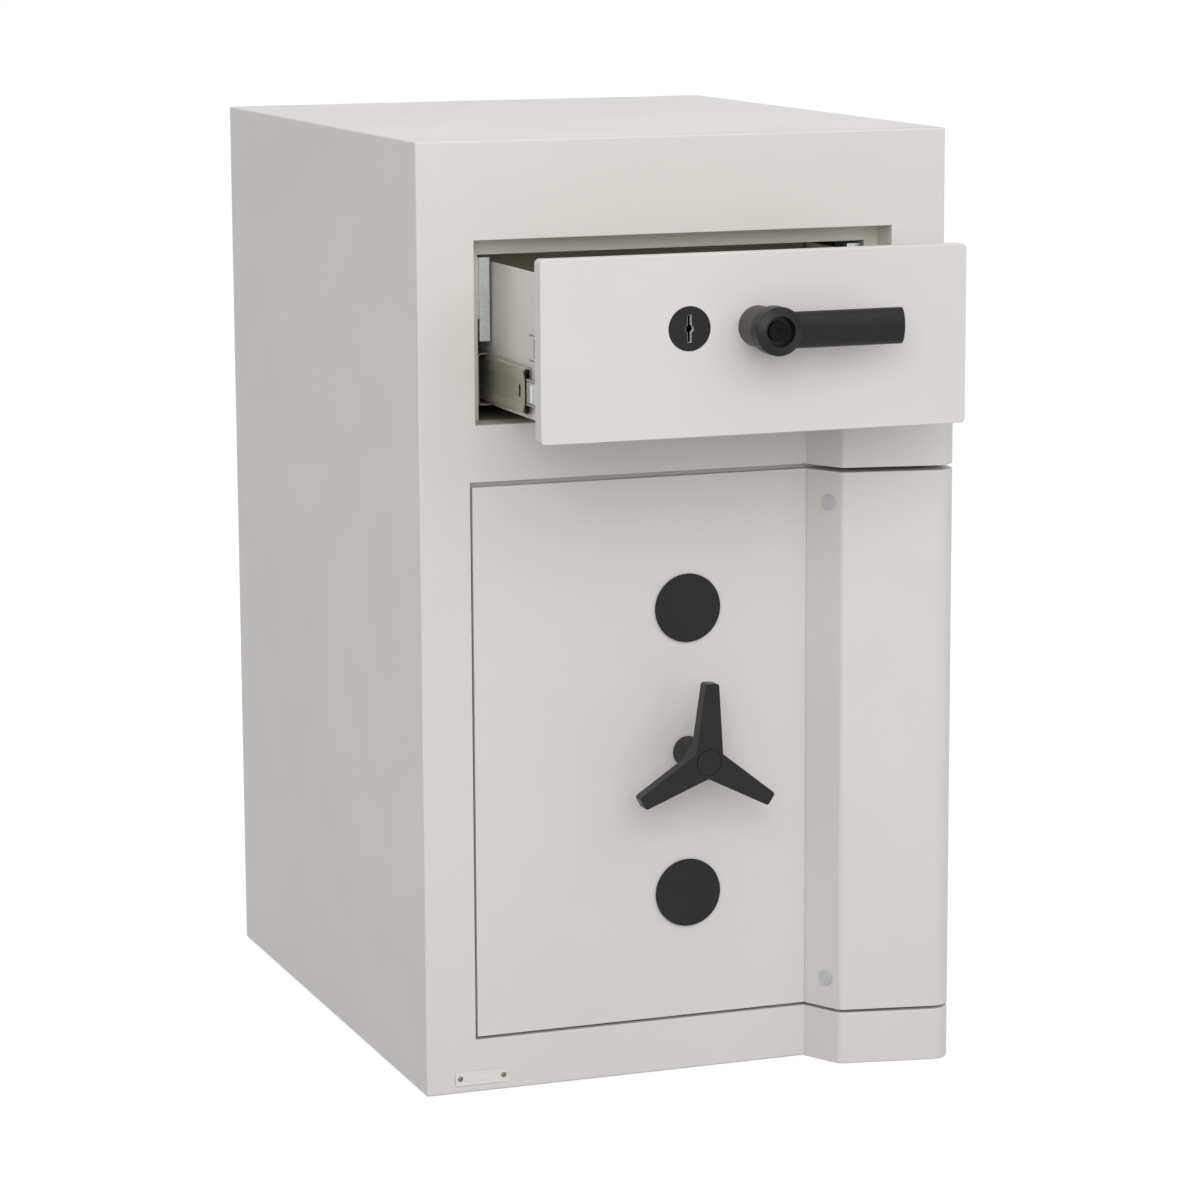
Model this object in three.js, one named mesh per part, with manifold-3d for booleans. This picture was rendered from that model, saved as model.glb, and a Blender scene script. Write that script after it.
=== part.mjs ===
// Drop safe with a deposit drawer above a vault door, built piece by piece as it comes apart on a bench.
// Millimetres, +Z up, front facing -Y. The origin is on the floor, under the middle of the body.
// The drawer stands partly open, the door is shut, and all bolts are drawn back.
import * as THREE from "three";
import { mergeVertices } from "three/addons/utils/BufferGeometryUtils.js";
import Module from "manifold-3d";

const wasm = await Module();
wasm.setup();

// Clearances
const seat = 0.3; // between pieces that rest on each other
const runningGap = 0.4; // round what turns or slides
const past = 1; // how far a cut goes on beyond the face

// Body
const bodyWidth = 530;
const bodyDepth = 640;
const bodyHeight = 900;
const shellSheet = 4;
const frontPlate = 8;
const linerSheet = 2;
const wall = 52; // outer face to the vault, at the sides and the back
const floorWall = 50;
const division = 48; // between the vault and the drawer's compartment

// Drawer
const panelSide = 58.5; // body's side to the panel's
const panelHeight = 164.5;
const panelThickness = 16;
const panelCorner = 4.5;
const panelBelowTop = 94.5; // body's top to the panel's
const panelGap = 3.2;
const drawerOut = 173; // how far the drawer stands open at rest
const panelOverhang = 28.5; // panel beyond the box, each side
const boxBelowTop = 21; // panel's top edge to the box's
const boxLift = 12.2; // compartment floor to the box
const boxLength = 430;
const boxSheet = 2.5;
const mechSheet = 2;
const mechRear = 16; // side bolts to the cover behind them
const mechCoverDrop = 2.5; // box's top edge to the cover's

// Drawer compartment
const slideSpace = 17.5; // between the box and the liner, each side
const ceilingRise = 6.1; // opening's top edge to the compartment's ceiling
const stopDepth = 33; // front face to the stop flange
const stopDrop = 16.2; // opening's top edge to the flange's
const dropStart = 130;
const dropLength = 320;
const dropInset = 30.5; // compartment's side walls to the drop opening

// Telescopic slides: each member's sides run from near to far, counted from the box
const slideLength = 400;
const slideRise = 26; // slide centre above the box floor
const slideSheet = 1.5;
const flangeSheet = 2;
const flangeGap = 0.5; // between the fixed and the middle member's flanges
const middleHeight = 44;
const innerHeight = 24;
const outerNear = 4.1;
const middleNear = 2.6;
const middleFar = 8.9;
const innerWeb = 1.7;
const slideSetback = 2; // panel to the middle and inner slides' front end
const outerSetback = 1; // stop flange to the fixed slides' front end
const innerEndGap = 6;
const cageLength = 60;
const cageSheet = 0.5;

// Drawer lever
const leverRise = 98; // panel's lower edge to the lever's axis
const leverReach = 122;
const gripHeight = 33;
const gripDepth = 16;
const gripSetback = 0.35; // hub's back to the grip's
const hubRadius = 22;
const hubDepth = 19.7;
const hubChamfer = { width: 7, depth: 3 };
const hubRecessRadius = 12.5;
const hubRecessDepth = 10;
const screwHeadRadius = 9;
const screwHeadDepth = 2.3;
const screwSocket = 3;
const screwSocketDepth = 1.5;
const collarRadius = 18.7;
const collarLength = 35.7;
const leverShaftRadius = 6;
const socketDepth = 6.5;
const camDiscRadius = 16;
const camDiscThick = 8;
const tailGap = 3; // between the two bolts' tails, and about that to the cam

// Drawer bolts and lock
const drawerThrow = 12;
const boltGap = 3; // keeper bar to the bolt
const boltDepth = 42;
const boltHeight = 17.6;
const boltDrop = 23; // bolt centre below the lever's axis
const boltProud = 1.6; // drawn bolt's tip beyond the box
const boltRoot = 34; // bolt's inner end from the middle
const tailSheet = 4;
const drawerPinRadius = 3;
const pinGap = 0.7;
const slotRim = 4;
const guideSheet = 1.7;
const guideRim = 2.8;
const guideFrontRim = 8;
const guideRearRim = 16;
const boltSlot = { front: 2, rear: 5, gap: 0.4 }; // round the bolt, in the box and the guides
const drawerLockX = -65.2;
const escutcheonRadius = 20;
const escutcheonPocket = 3.3;
const escutcheonProud = 0.2; // front face behind the panel's
const drawerLockCase = { width: 52, depth: 27.7, headroom: 4, boltSetback: 4, lap: 8, keyDepth: 8 };
const drawerLockBolt = { width: 5, depth: 10, length: 20, lift: 0.5 };
const drawerLug = { width: 4, gap: 2, reach: 20 };

// Keeper bars and anti-fishing flap
const keeperInset = 4;
const keeperWidth = 10.5;
const keeperSheet = 5;
const keeperSetback = 7; // stop flange to the bar
const keeperTopGap = 3;
const keeperFoot = 10.4; // fixed slide's top edge to the bar
const keeperLeg = { width: 5.4, length: 50, clear: 7 };
const flapDepth = 125;
const flapDrop = 14.8; // ceiling to the pivot
const flapSheet = 3;
const flapSideGap = 3.5;
const flapFloorGap = 5;
const flapRodRadius = 5;
const flapEyeWall = 3;
const flapStop = { sheet: 3, setback: 14, clear: 2.5 };

// Vault door
const doorMargin = 51.5; // body's left side to the door
const doorHingeGap = 48; // door's right edge to the hinge axis
const doorFloorGap = 4; // vault's floor and ceiling to the door's edges
const doorCeilingGap = 9.8;
const doorSideGap = 2;
const doorTopGap = 4.5;
const doorBottomGap = 3.2;
const barrierInset = 20; // door plate's edge to the barrier
const barrierInsetLeft = 23.5;
const barrierDepth = 37.7;
const backPlate = 4;
const jambClear = 8;
const jambStart = 10;
const jambDepth = 46;

// Hinge column
const columnInset = 10; // body's right side to the column
const columnWidth = 133;
const bevelRun = 20.7;
const bevelOut = 40;
const columnSlant = THREE.MathUtils.degToRad(11.6);
const columnRound = 19;
const columnTopGap = 6;
const coverSheet = 3;
const coverRearGap = 11;
const hingeInset = 17; // column's right side to the hinge axis
const hingeOut = 22; // hinge axis in front of the body
const hingePinRadius = 7;
const hingeShoulder = 11;
const hingePinGrip = 25;
const pinHoleGap = 1; // round the pin's shoulder, in the cover's ends
const armHeight = 24;
const armInset = 14.7; // end of the cover to the hinge arm
const armWall = 5; // round the pin
const armStart = 16; // column's left side to the arm
const armNose = 28;
const armCover = 6; // column's front corner to the arm
const capRadius = 7.5;
const capSheet = 1.5;
const screwRadius = 3;
const screwLength = 25;
const capOut = 24.9; // screw centre in front of the body

// Door furniture and locks
const handleDrop = 3; // door's middle to the handle's axis
const spokeReach = 75.5;
const spokeRoot = 29;
const spokeTip = 14;
const spokeTipCorner = 3;
const spokeDepth = 13;
const spokeTurn = 2.5; // degrees that the handle leans at rest
const handleHubRadius = 15.5;
const handleHubDepth = 25;
const handleFront = 57;
const hubCapRadius = 12;
const hubCapGroove = { width: 0.8, depth: 1 }; // round the cap, whose face is flush
const handleSocket = 12;
const bossRadius = 15;
const handleShaftRadius = 7;
const shaftGap = 1.5;
const lockRise = 139.2; // handle's axis to the upper lock
const lockDrop = 138.4; // and to the lower one
const coverRadius = 33;
const coverThick = 2.5;
const coverStandoff = 0.5;
const coverPivotRise = 26;
const studRadius = 3;
const keyRadius = 4;
const keySlotWidth = 4;
const keySlotHeight = 25;
const keyRoom = { barrier: 15, plate: 10, pocket: 10 };

// Door bolt-work
const doorThrow = 26;
const doorBoltRadius = 10;
const doorBoltInset = 32; // bar's end to the outer bolts
const doorBoltTip = 29.5; // door plate's edge to a drawn bolt's tip
const doorBoltLength = 34;
const doorBoltClear = 4; // jamb to the bolts
const barWidth = 28;
const barThick = 8;
const barEndRoom = 24; // door barrier's lower edge to the bar's end
const barGuide = { pad: 18, rim: 6, lip: 2, before: 1, behind: 2 };
const camRadius = 24;
const camThick = 7.9;
const crankRadius = 4;
const crankGap = 0.8;
const linkRim = { low: 6, high: 8 };
const doorLock = { width: 76, height: 64, rear: 2, bolt: 10, boltLength: 29 };
const lug = { width: 10, gap: 3, clear: 3.2 };
const pan = { sheet: 2, depth: 47.4, inset: 10, guideGap: 1, dogRoom: 32 };
const dog = { height: 230, gap: 4, reach: 24, thick: 12 };

// Rating plate
const plateWidth = 53;
const plateHeight = 13.5;
const plateThick = 0.8;
const plateInset = 55; // body's left side to the plate's middle
const plateRise = 14.2;
const rivetRadius = 2.8;
const rivetInset = 4.8; // plate's end to the rivet
const rivetProud = 0.7;

// Places worked out from the sizes above
const at = (depth) => depth - bodyDepth / 2; // y of a plane that lies depth behind the front face
const halfBody = bodyWidth / 2;
const vaultHalf = halfBody - wall;
const innerBack = bodyDepth - wall;
const panelWidth = bodyWidth - 2 * panelSide;
const panelTop = bodyHeight - panelBelowTop;
const panelBottom = panelTop - panelHeight;
const openingHalf = panelWidth / 2 + panelGap;
const openingLow = panelBottom - panelGap;
const openingHigh = panelTop + panelGap;
const boxHalf = panelWidth / 2 - panelOverhang;
const bayHalf = boxHalf + slideSpace;
const ceiling = openingHigh + ceilingRise;
const stopLow = openingHigh - stopDrop;
const vaultTop = openingLow - division;
const dropHalf = bayHalf - dropInset;
const dropEnd = dropStart + dropLength;
const boxBottom = openingLow + boxLift;
const boxTop = panelTop - boxBelowTop;
const boxBack = panelThickness + boxLength;
const mechTop = boxTop - mechCoverDrop;
const boxFloor = boxBottom + boxSheet;
const slideZ = boxBottom + slideRise;
const outerHeight = middleHeight + 2 * (flangeSheet + flangeGap);
const innerFar = middleFar - slideSheet - cageSheet - 2 * seat;
const slideStart = stopDepth + linerSheet + outerSetback;
const middleStart = panelThickness + slideSetback;
const leverHeight = panelBottom + leverRise;
const keeperFront = stopDepth + keeperSetback;
const boltFront = keeperFront + keeperSheet + boltGap;
const boltZ = leverHeight - boltDrop;
const boltLow = boltZ - boltHeight / 2;
const boltHigh = boltZ + boltHeight / 2;
const mechBack = boltFront + boltDepth + mechRear;
const columnRight = halfBody - columnInset;
const columnLeft = columnRight - columnWidth;
const hingeX = columnRight - hingeInset;
const doorLeft = -halfBody + doorMargin;
const doorRight = hingeX - doorHingeGap;
const doorBottom = floorWall + doorFloorGap;
const doorTop = vaultTop - doorCeilingGap;
const doorway = {
  left: doorLeft - doorSideGap,
  right: doorRight + doorSideGap,
  low: doorBottom - doorBottomGap,
  high: doorTop + doorTopGap,
};
const barrier = {
  left: doorLeft + barrierInsetLeft,
  right: doorRight - barrierInset,
  low: doorBottom + barrierInset,
  high: doorTop - barrierInset,
};
const handleHeight = (doorBottom + doorTop) / 2 - handleDrop;
const lockHeights = { top: handleHeight + lockRise, bottom: handleHeight - lockDrop };
const backPlateFront = frontPlate + barrierDepth + 2 * seat;
const workFront = backPlateFront + backPlate + seat;
const jambBack = jambStart + jambDepth;
const doorBoltDepth = jambBack + doorBoltClear + doorBoltRadius;
const boltTipX = doorLeft + doorBoltTip;
const barX = boltTipX + doorBoltLength;
const barLow = barrier.low + barEndRoom;
const barHigh = 2 * handleHeight - barLow;
const doorBoltHeights = [barLow + doorBoltInset, handleHeight, barHigh - doorBoltInset];
const barDepths = [doorBoltDepth - barThick / 2, doorBoltDepth + barThick / 2];
const arms = {
  top: doorTop - coverSheet - armInset - armHeight / 2,
  bottom: doorBottom + coverSheet + armInset + armHeight / 2,
};

// Finishes
function finish(color, roughness, metalness) {
  return new THREE.MeshStandardMaterial({ color, roughness, metalness });
}

const paint = finish(0xd4d1ce, 0.55, 0);
const innerPaint = finish(0xd0cdc4, 0.5, 0);
const drawerPaint = finish(0xc9c7c2, 0.55, 0);
const barrierMix = finish(0x9b978e, 0.95, 0);
const zinc = finish(0xb3b8b9, 0.4, 0.85);
const steel = finish(0x8b8e90, 0.4, 0.9);
const blackMetal = finish(0x303032, 0.5, 0.2);
const blackPlastic = finish(0x1d1d1e, 0.5, 0);
const brass = finish(0xa58a52, 0.35, 0.9);
const paleCap = finish(0xc3c9cf, 0.45, 0);
const plateMetal = finish(0xc9c8c4, 0.35, 0.6);

// A closed geometry as a solid that can be joined and cut
function solid(geometry) {
  const bare = geometry.index ? geometry.toNonIndexed() : geometry.clone();
  bare.deleteAttribute("normal");
  bare.deleteAttribute("uv");
  const merged = mergeVertices(bare, 1e-4);
  return new wasm.Manifold(
    new wasm.Mesh({
      numProp: 3,
      vertProperties: merged.attributes.position.array,
      triVerts: new Uint32Array(merged.index.array),
    }),
  );
}

// A block between two values of x, of depth behind the front face, and of z
function block([x0, x1], [d0, d1], [z0, z1]) {
  const box = new THREE.BoxGeometry(x1 - x0, d1 - d0, z1 - z0);
  return solid(box.translate((x0 + x1) / 2, at((d0 + d1) / 2), (z0 + z1) / 2));
}

const middleBlock = (half, depths, heights) => block([-half, half], depths, heights);

// Round bars along depth, height and width; the radius of coneY changes from front to back
function coneY(x, z, [frontRadius, backRadius], [d0, d1], facets = 32) {
  const bar = new THREE.CylinderGeometry(backRadius, frontRadius, d1 - d0, facets);
  return solid(bar.translate(x, at((d0 + d1) / 2), z));
}

const rodY = (x, z, radius, depths, facets = 32) => coneY(x, z, [radius, radius], depths, facets);

function rodZ(x, depth, radius, [z0, z1], facets = 32) {
  const bar = new THREE.CylinderGeometry(radius, radius, z1 - z0, facets).rotateX(Math.PI / 2);
  return solid(bar.translate(x, at(depth), (z0 + z1) / 2));
}

function rodX(depth, z, radius, [x0, x1], facets = 32) {
  const bar = new THREE.CylinderGeometry(radius, radius, x1 - x0, facets).rotateZ(Math.PI / 2);
  return solid(bar.translate((x0 + x1) / 2, at(depth), z));
}

// An outline seen from above, x and depth, raised from z0 to z1
function raise(shape, [z0, z1], curveSegments = 6) {
  const steps = { depth: z1 - z0, bevelEnabled: false, curveSegments };
  return solid(new THREE.ExtrudeGeometry(shape, steps).translate(0, at(0), z0));
}

// An outline seen from the front, x and z, drawn out over depths
function drawBack(shape, [d0, d1], curveSegments = 6) {
  const steps = { depth: d1 - d0, bevelEnabled: false, curveSegments };
  return solid(new THREE.ExtrudeGeometry(shape, steps).rotateX(Math.PI / 2).translate(0, at(d1), 0));
}

// Keyhole for a double-bitted key, centred on x and z
function keyhole(x, z, depths) {
  const slot = block(around(x, keySlotWidth), depths, around(z, keySlotHeight));
  return join(slot, rodY(x, z, keyRadius, depths, 16));
}

const join = (...solids) => solids.reduce((whole, next) => whole.add(next));
const cut = (whole, ...tools) => tools.reduce((rest, tool) => rest.subtract(tool), whole);
const grown = ([low, high], by) => [low - by, high + by];
const around = (middle, size) => [middle - size / 2, middle + size / 2];
const sorted = (a, b) => [Math.min(a, b), Math.max(a, b)];

// A stretch of x from near to far of the middle, on the left or the right
const sides = { left: -1, right: 1 };
const offMiddle = (side, near, far) => sorted(side * near, side * far);

function piece(parent, name, body, material) {
  const { vertProperties, triVerts } = body.getMesh();
  const geometry = new THREE.BufferGeometry();
  geometry.setAttribute("position", new THREE.BufferAttribute(new Float32Array(vertProperties), 3));
  geometry.setIndex(new THREE.BufferAttribute(new Uint32Array(triVerts), 1));
  geometry.computeVertexNormals();
  const mesh = new THREE.Mesh(geometry, material);
  mesh.name = name;
  parent.add(mesh);
}

function group(parent, x = 0, y = 0, z = 0) {
  const child = new THREE.Group();
  child.position.set(x, y, z);
  parent.add(child);
  return child;
}

const safe = new THREE.Group();
const body = group(safe);
const drawer = group(safe, 0, -drawerOut, 0);
const door = group(safe);

// Casing, front frame and the barrier between them and the liners
function makeBody() {
  const shellFront = frontPlate + seat;
  const inside = halfBody - shellSheet;
  const shell = cut(
    middleBlock(halfBody, [shellFront, bodyDepth], [0, bodyHeight]),
    middleBlock(inside, [0, bodyDepth - shellSheet], [shellSheet, bodyHeight - shellSheet]),
  );
  piece(body, "outer_shell", shell, paint);

  const through = grown([0, frontPlate], past);
  const frame = cut(
    middleBlock(halfBody, [0, frontPlate], [0, bodyHeight]),
    middleBlock(openingHalf, through, [openingLow, openingHigh]),
    block([doorway.left, doorway.right], through, [doorway.low, doorway.high]),
  );
  piece(body, "front_frame", frame, paint);

  const room = seat + linerSheet;
  const edge = shellSheet + seat;
  const fill = cut(
    middleBlock(halfBody - edge, [shellFront, bodyDepth - edge], [edge, bodyHeight - edge]),
    middleBlock(openingHalf + room, [0, stopDepth + room], grown([openingLow, openingHigh], room)),
    middleBlock(bayHalf + room, [0, innerBack + room], grown([openingLow, ceiling], room)),
    middleBlock(vaultHalf + room, [0, innerBack + room], grown([floorWall, vaultTop], room)),
    middleBlock(dropHalf + room, grown([dropStart, dropEnd], room), [vaultTop, openingLow]),
  );
  piece(body, "barrier_fill", fill, barrierMix);

  const plateX = -halfBody + plateInset;
  const plateFront = -plateThick - seat;
  const plate = block(around(plateX, plateWidth), [plateFront, -seat], around(plateRise, plateHeight));
  const rivetX = plateWidth / 2 - rivetInset;
  const rivetDepths = [plateFront - rivetProud, plateFront + plateThick / 2];
  const rivets = [-1, 1].map((side) => rodY(plateX + side * rivetX, plateRise, rivetRadius, rivetDepths, 12));
  piece(body, "rating_plate", join(plate, ...rivets), plateMetal);
}

// Inner sheet boxes of the vault and of the drawer's compartment, and what lines their openings
function makeLiners() {
  const room = seat + linerSheet;
  const vault = cut(
    middleBlock(
      vaultHalf + linerSheet,
      [frontPlate + seat, innerBack + linerSheet],
      grown([floorWall, vaultTop], linerSheet),
    ),
    middleBlock(vaultHalf, [0, innerBack], [floorWall, vaultTop]),
    middleBlock(dropHalf + room, grown([dropStart, dropEnd], room), [vaultTop - past, openingLow]),
  );
  piece(body, "vault_liner", vault, innerPaint);

  const bay = cut(
    join(
      middleBlock(
        bayHalf + linerSheet,
        [stopDepth + room, innerBack + linerSheet],
        grown([openingLow, ceiling], linerSheet),
      ),
      middleBlock(dropHalf + linerSheet, grown([dropStart, dropEnd], linerSheet), [vaultTop, openingLow]),
    ),
    middleBlock(bayHalf, [0, innerBack], [openingLow, ceiling]),
    middleBlock(dropHalf, [dropStart, dropEnd], grown([vaultTop, openingLow], past)),
  );
  piece(body, "drawer_liner", bay, innerPaint);

  const recess = cut(
    middleBlock(
      openingHalf + linerSheet,
      [frontPlate + seat, stopDepth + linerSheet],
      grown([openingLow, openingHigh], linerSheet),
    ),
    middleBlock(openingHalf, [0, stopDepth], [openingLow, openingHigh]),
    middleBlock(bayHalf, [0, stopDepth + linerSheet + past], [openingLow, stopLow]),
  );
  piece(body, "recess_frame", recess, paint);

  const jamb = cut(
    middleBlock(vaultHalf - seat, [jambStart, jambBack], grown([floorWall, vaultTop], -seat)),
    block(
      grown([barrier.left, barrier.right], jambClear),
      [0, bodyDepth],
      grown([barrier.low, barrier.high], jambClear),
    ),
  );
  piece(body, "door_jamb", jamb, paint);
}

// The column's outline from above, drawn in by inset. Its back lies at depth rear, and its right side
// ends at depth rightEnd.
function columnOutline(inset, rear, rightEnd = rear) {
  const run = bevelRun / bevelOut;
  const slope = Math.tan(columnSlant);
  const bevelX = (out) => columnLeft + out * run + inset * Math.hypot(1, run);
  const frontOut = (x) => bevelOut + (x - columnLeft - bevelRun) * slope - inset / Math.cos(columnSlant);
  const cornerX = bevelX(frontOut(0)) / (1 - run * slope);
  const roundX = columnRight - columnRound;
  const roundOut = frontOut(roundX) - (columnRound - inset) / Math.cos(columnSlant);
  const shape = new THREE.Shape();
  shape.moveTo(bevelX(-rear), rear);
  shape.lineTo(cornerX, -frontOut(cornerX));
  shape.absarc(roundX, -roundOut, columnRound - inset, -Math.PI / 2 - columnSlant, 0, false);
  shape.lineTo(columnRight - inset, rightEnd);
  if (rightEnd !== rear) {
    shape.lineTo(hingeX - columnRound / 2, rear);
  }
  return shape;
}

// Fixed ends of the hinge column and the pins in them
function makeColumn() {
  const outline = columnOutline(0, -seat);
  const headTop = openingLow - columnTopGap;
  const topGrip = [doorway.high - past, doorway.high + hingePinGrip];
  const footGrip = [doorway.low - hingePinGrip, doorway.low + past];
  const pinHole = (heights) => rodZ(hingeX, -hingeOut, hingePinRadius + seat, heights);
  piece(body, "column_head", cut(raise(outline, [doorway.high, headTop]), pinHole(topGrip)), paint);
  piece(body, "column_foot", cut(raise(outline, [0, doorway.low]), pinHole(footGrip)), paint);

  const pin = (heights) => rodZ(hingeX, -hingeOut, hingePinRadius, heights);
  const [lowArmBottom, lowArmTop] = around(arms.bottom, armHeight);
  const shoulder = rodZ(hingeX, -hingeOut, hingeShoulder, [doorway.low + seat, lowArmBottom - seat]);
  const topPin = pin([arms.top - armHeight / 2, topGrip[1] - seat]);
  const bottomPin = join(pin([footGrip[0] + seat, lowArmTop]), shoulder);
  piece(body, "hinge_pin_top", topPin, steel);
  piece(body, "hinge_pin_bottom", bottomPin, steel);
}

// Keeper bars, fixed slides, and the flap that lets deposits through one way
function makeBay() {
  const barTop = stopLow - keeperTopGap;
  for (const [name, side] of Object.entries(sides)) {
    const barOuter = bayHalf - keeperInset;
    const bar = block(
      offMiddle(side, barOuter - keeperWidth, barOuter),
      [keeperFront, keeperFront + keeperSheet],
      [slideZ + outerHeight / 2 + keeperFoot, barTop],
    );
    const leg = block(
      offMiddle(side, bayHalf - seat - keeperLeg.width, bayHalf - seat),
      [keeperFront + past, keeperFront + keeperLeg.length],
      [boltHigh + keeperLeg.clear, barTop],
    );
    piece(body, "keeper_bar_" + name, join(bar, leg), zinc);

    const ends = [slideStart, slideStart + slideLength];
    const outer = cut(
      block(offMiddle(side, boxHalf + outerNear, bayHalf - seat), ends, around(slideZ, outerHeight)),
      block(
        offMiddle(side, 0, bayHalf - seat - slideSheet),
        grown(ends, past),
        around(slideZ, outerHeight - 2 * flangeSheet),
      ),
    );
    piece(body, "slide_outer_" + name, outer, zinc);
  }

  const pivotZ = ceiling - flapDrop;
  const half = boxHalf - boxSheet - flapSideGap;
  const rod = rodX(flapDepth, pivotZ, flapRodRadius, [-bayHalf + seat, bayHalf - seat], 16);
  piece(body, "flap_rod", rod, steel);

  const stopFront = flapDepth - flapStop.setback - flapStop.sheet;
  const stopFoot = boxTop + flapStop.clear;
  const stopBar = join(
    middleBlock(half, [stopFront, stopFront + flapStop.sheet], [stopFoot, ceiling - seat]),
    middleBlock(half, [stopFront, flapDepth - flapSheet / 2 - past], [stopFoot, stopFoot + flapStop.sheet]),
  );
  piece(body, "flap_stop_bar", stopBar, innerPaint);

  const boreRadius = flapRodRadius + runningGap;
  const flap = cut(
    join(
      middleBlock(half, around(flapDepth, flapSheet), [boxFloor + flapFloorGap, pivotZ]),
      rodX(flapDepth, pivotZ, boreRadius + flapEyeWall, [-half, half], 24),
    ),
    rodX(flapDepth, pivotZ, boreRadius, [-bayHalf, bayHalf], 24),
  );
  piece(group(safe), "anti_fishing_flap", flap, innerPaint);
}

// The members that ride between the fixed and the drawer slides, and go half as far as the drawer
function makeMiddleSlides() {
  const ends = [middleStart, middleStart + slideLength];
  const hollowHeight = middleHeight - 2 * flangeSheet;
  const windowHeight = innerHeight + 2 * cageSheet;
  const webFace = boxHalf + middleFar - slideSheet;
  const cageFace = webFace - seat;
  for (const [name, side] of Object.entries(sides)) {
    const parent = group(safe, 0, -drawerOut / 2, 0);
    const middle = cut(
      block(offMiddle(side, boxHalf + middleNear, boxHalf + middleFar), ends, around(slideZ, middleHeight)),
      block(offMiddle(side, 0, webFace), grown(ends, past), around(slideZ, hollowHeight)),
    );
    piece(parent, "slide_middle_" + name, middle, zinc);

    const cage = cut(
      block(
        offMiddle(side, boxHalf + middleNear + runningGap, cageFace),
        [middleStart - cageSheet, middleStart + cageLength],
        around(slideZ, hollowHeight - 2 * seat),
      ),
      block(offMiddle(side, 0, cageFace - cageSheet), [0, bodyDepth], around(slideZ, windowHeight)),
    );
    piece(parent, "ball_cage_" + name, cage, blackPlastic);
  }
}

// Front panel with its escutcheon, box, bolt-work cover, bolt guides and inner slides
function makeDrawer() {
  const corner = [panelWidth / 2 - panelCorner, panelHeight / 2 - panelCorner];
  const outline = new THREE.Shape();
  for (const [quarter, right, up] of [[0, 1, 1], [1, -1, 1], [2, -1, -1], [3, 1, -1]]) {
    const start = (quarter * Math.PI) / 2;
    outline.absarc(right * corner[0], up * corner[1], panelCorner, start, start + Math.PI / 2, false);
  }
  const front = cut(
    drawBack(outline, [0, panelThickness]).translate([0, 0, panelBottom + panelHeight / 2]),
    rodY(0, leverHeight, leverShaftRadius + past, grown([0, panelThickness], past), 24),
    rodY(drawerLockX, leverHeight, escutcheonRadius + seat, [-past, escutcheonPocket], 40),
    keyhole(drawerLockX, leverHeight, [0, panelThickness + past]),
  );
  piece(drawer, "drawer_front", front, paint);

  const discDepths = [escutcheonProud, escutcheonPocket - seat];
  const escutcheon = cut(
    rodY(drawerLockX, leverHeight, escutcheonRadius, discDepths, 40),
    keyhole(drawerLockX, leverHeight, [0, panelThickness]),
  );
  piece(drawer, "lock_escutcheon", escutcheon, blackMetal);

  const slotDepths = [boltFront - boltSlot.front, boltFront + boltDepth + boltSlot.rear];
  const slotHeights = grown([boltLow, boltHigh], boltSlot.gap);
  const boxFront = panelThickness + seat;
  const box = cut(
    middleBlock(boxHalf, [boxFront, boxBack], [boxBottom, boxTop]),
    middleBlock(boxHalf - boxSheet, [0, bodyDepth], [boxFloor, bodyHeight]),
    middleBlock(boxHalf + past, slotDepths, slotHeights),
  );
  piece(drawer, "drawer_box", box, drawerPaint);

  const coverHalf = boxHalf - boxSheet - seat;
  const cover = join(
    middleBlock(coverHalf, [mechBack - mechSheet, mechBack], [boxFloor + seat, mechTop]),
    middleBlock(coverHalf, [boxFront, mechBack], [mechTop - mechSheet, mechTop]),
  );
  piece(drawer, "mech_cover", cover, drawerPaint);

  const face = boxHalf + seat;
  for (const [name, side] of Object.entries(sides)) {
    const guide = cut(
      block(
        offMiddle(side, face, face + guideSheet),
        [slotDepths[0] - guideFrontRim, slotDepths[1] + guideRearRim],
        grown(slotHeights, guideRim),
      ),
      middleBlock(face + guideSheet + past, slotDepths, slotHeights),
    );
    piece(drawer, "bolt_guide_" + name, guide, drawerPaint);

    const inner = cut(
      block(
        offMiddle(side, face, boxHalf + innerFar),
        [middleStart, boxBack - innerEndGap],
        around(slideZ, innerHeight),
      ),
      block(
        offMiddle(side, face + innerWeb, boxHalf + innerFar + past),
        [0, bodyDepth],
        around(slideZ, innerHeight - 2 * flangeSheet),
      ),
    );
    piece(drawer, "slide_inner_" + name, inner, zinc);
  }
}

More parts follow.
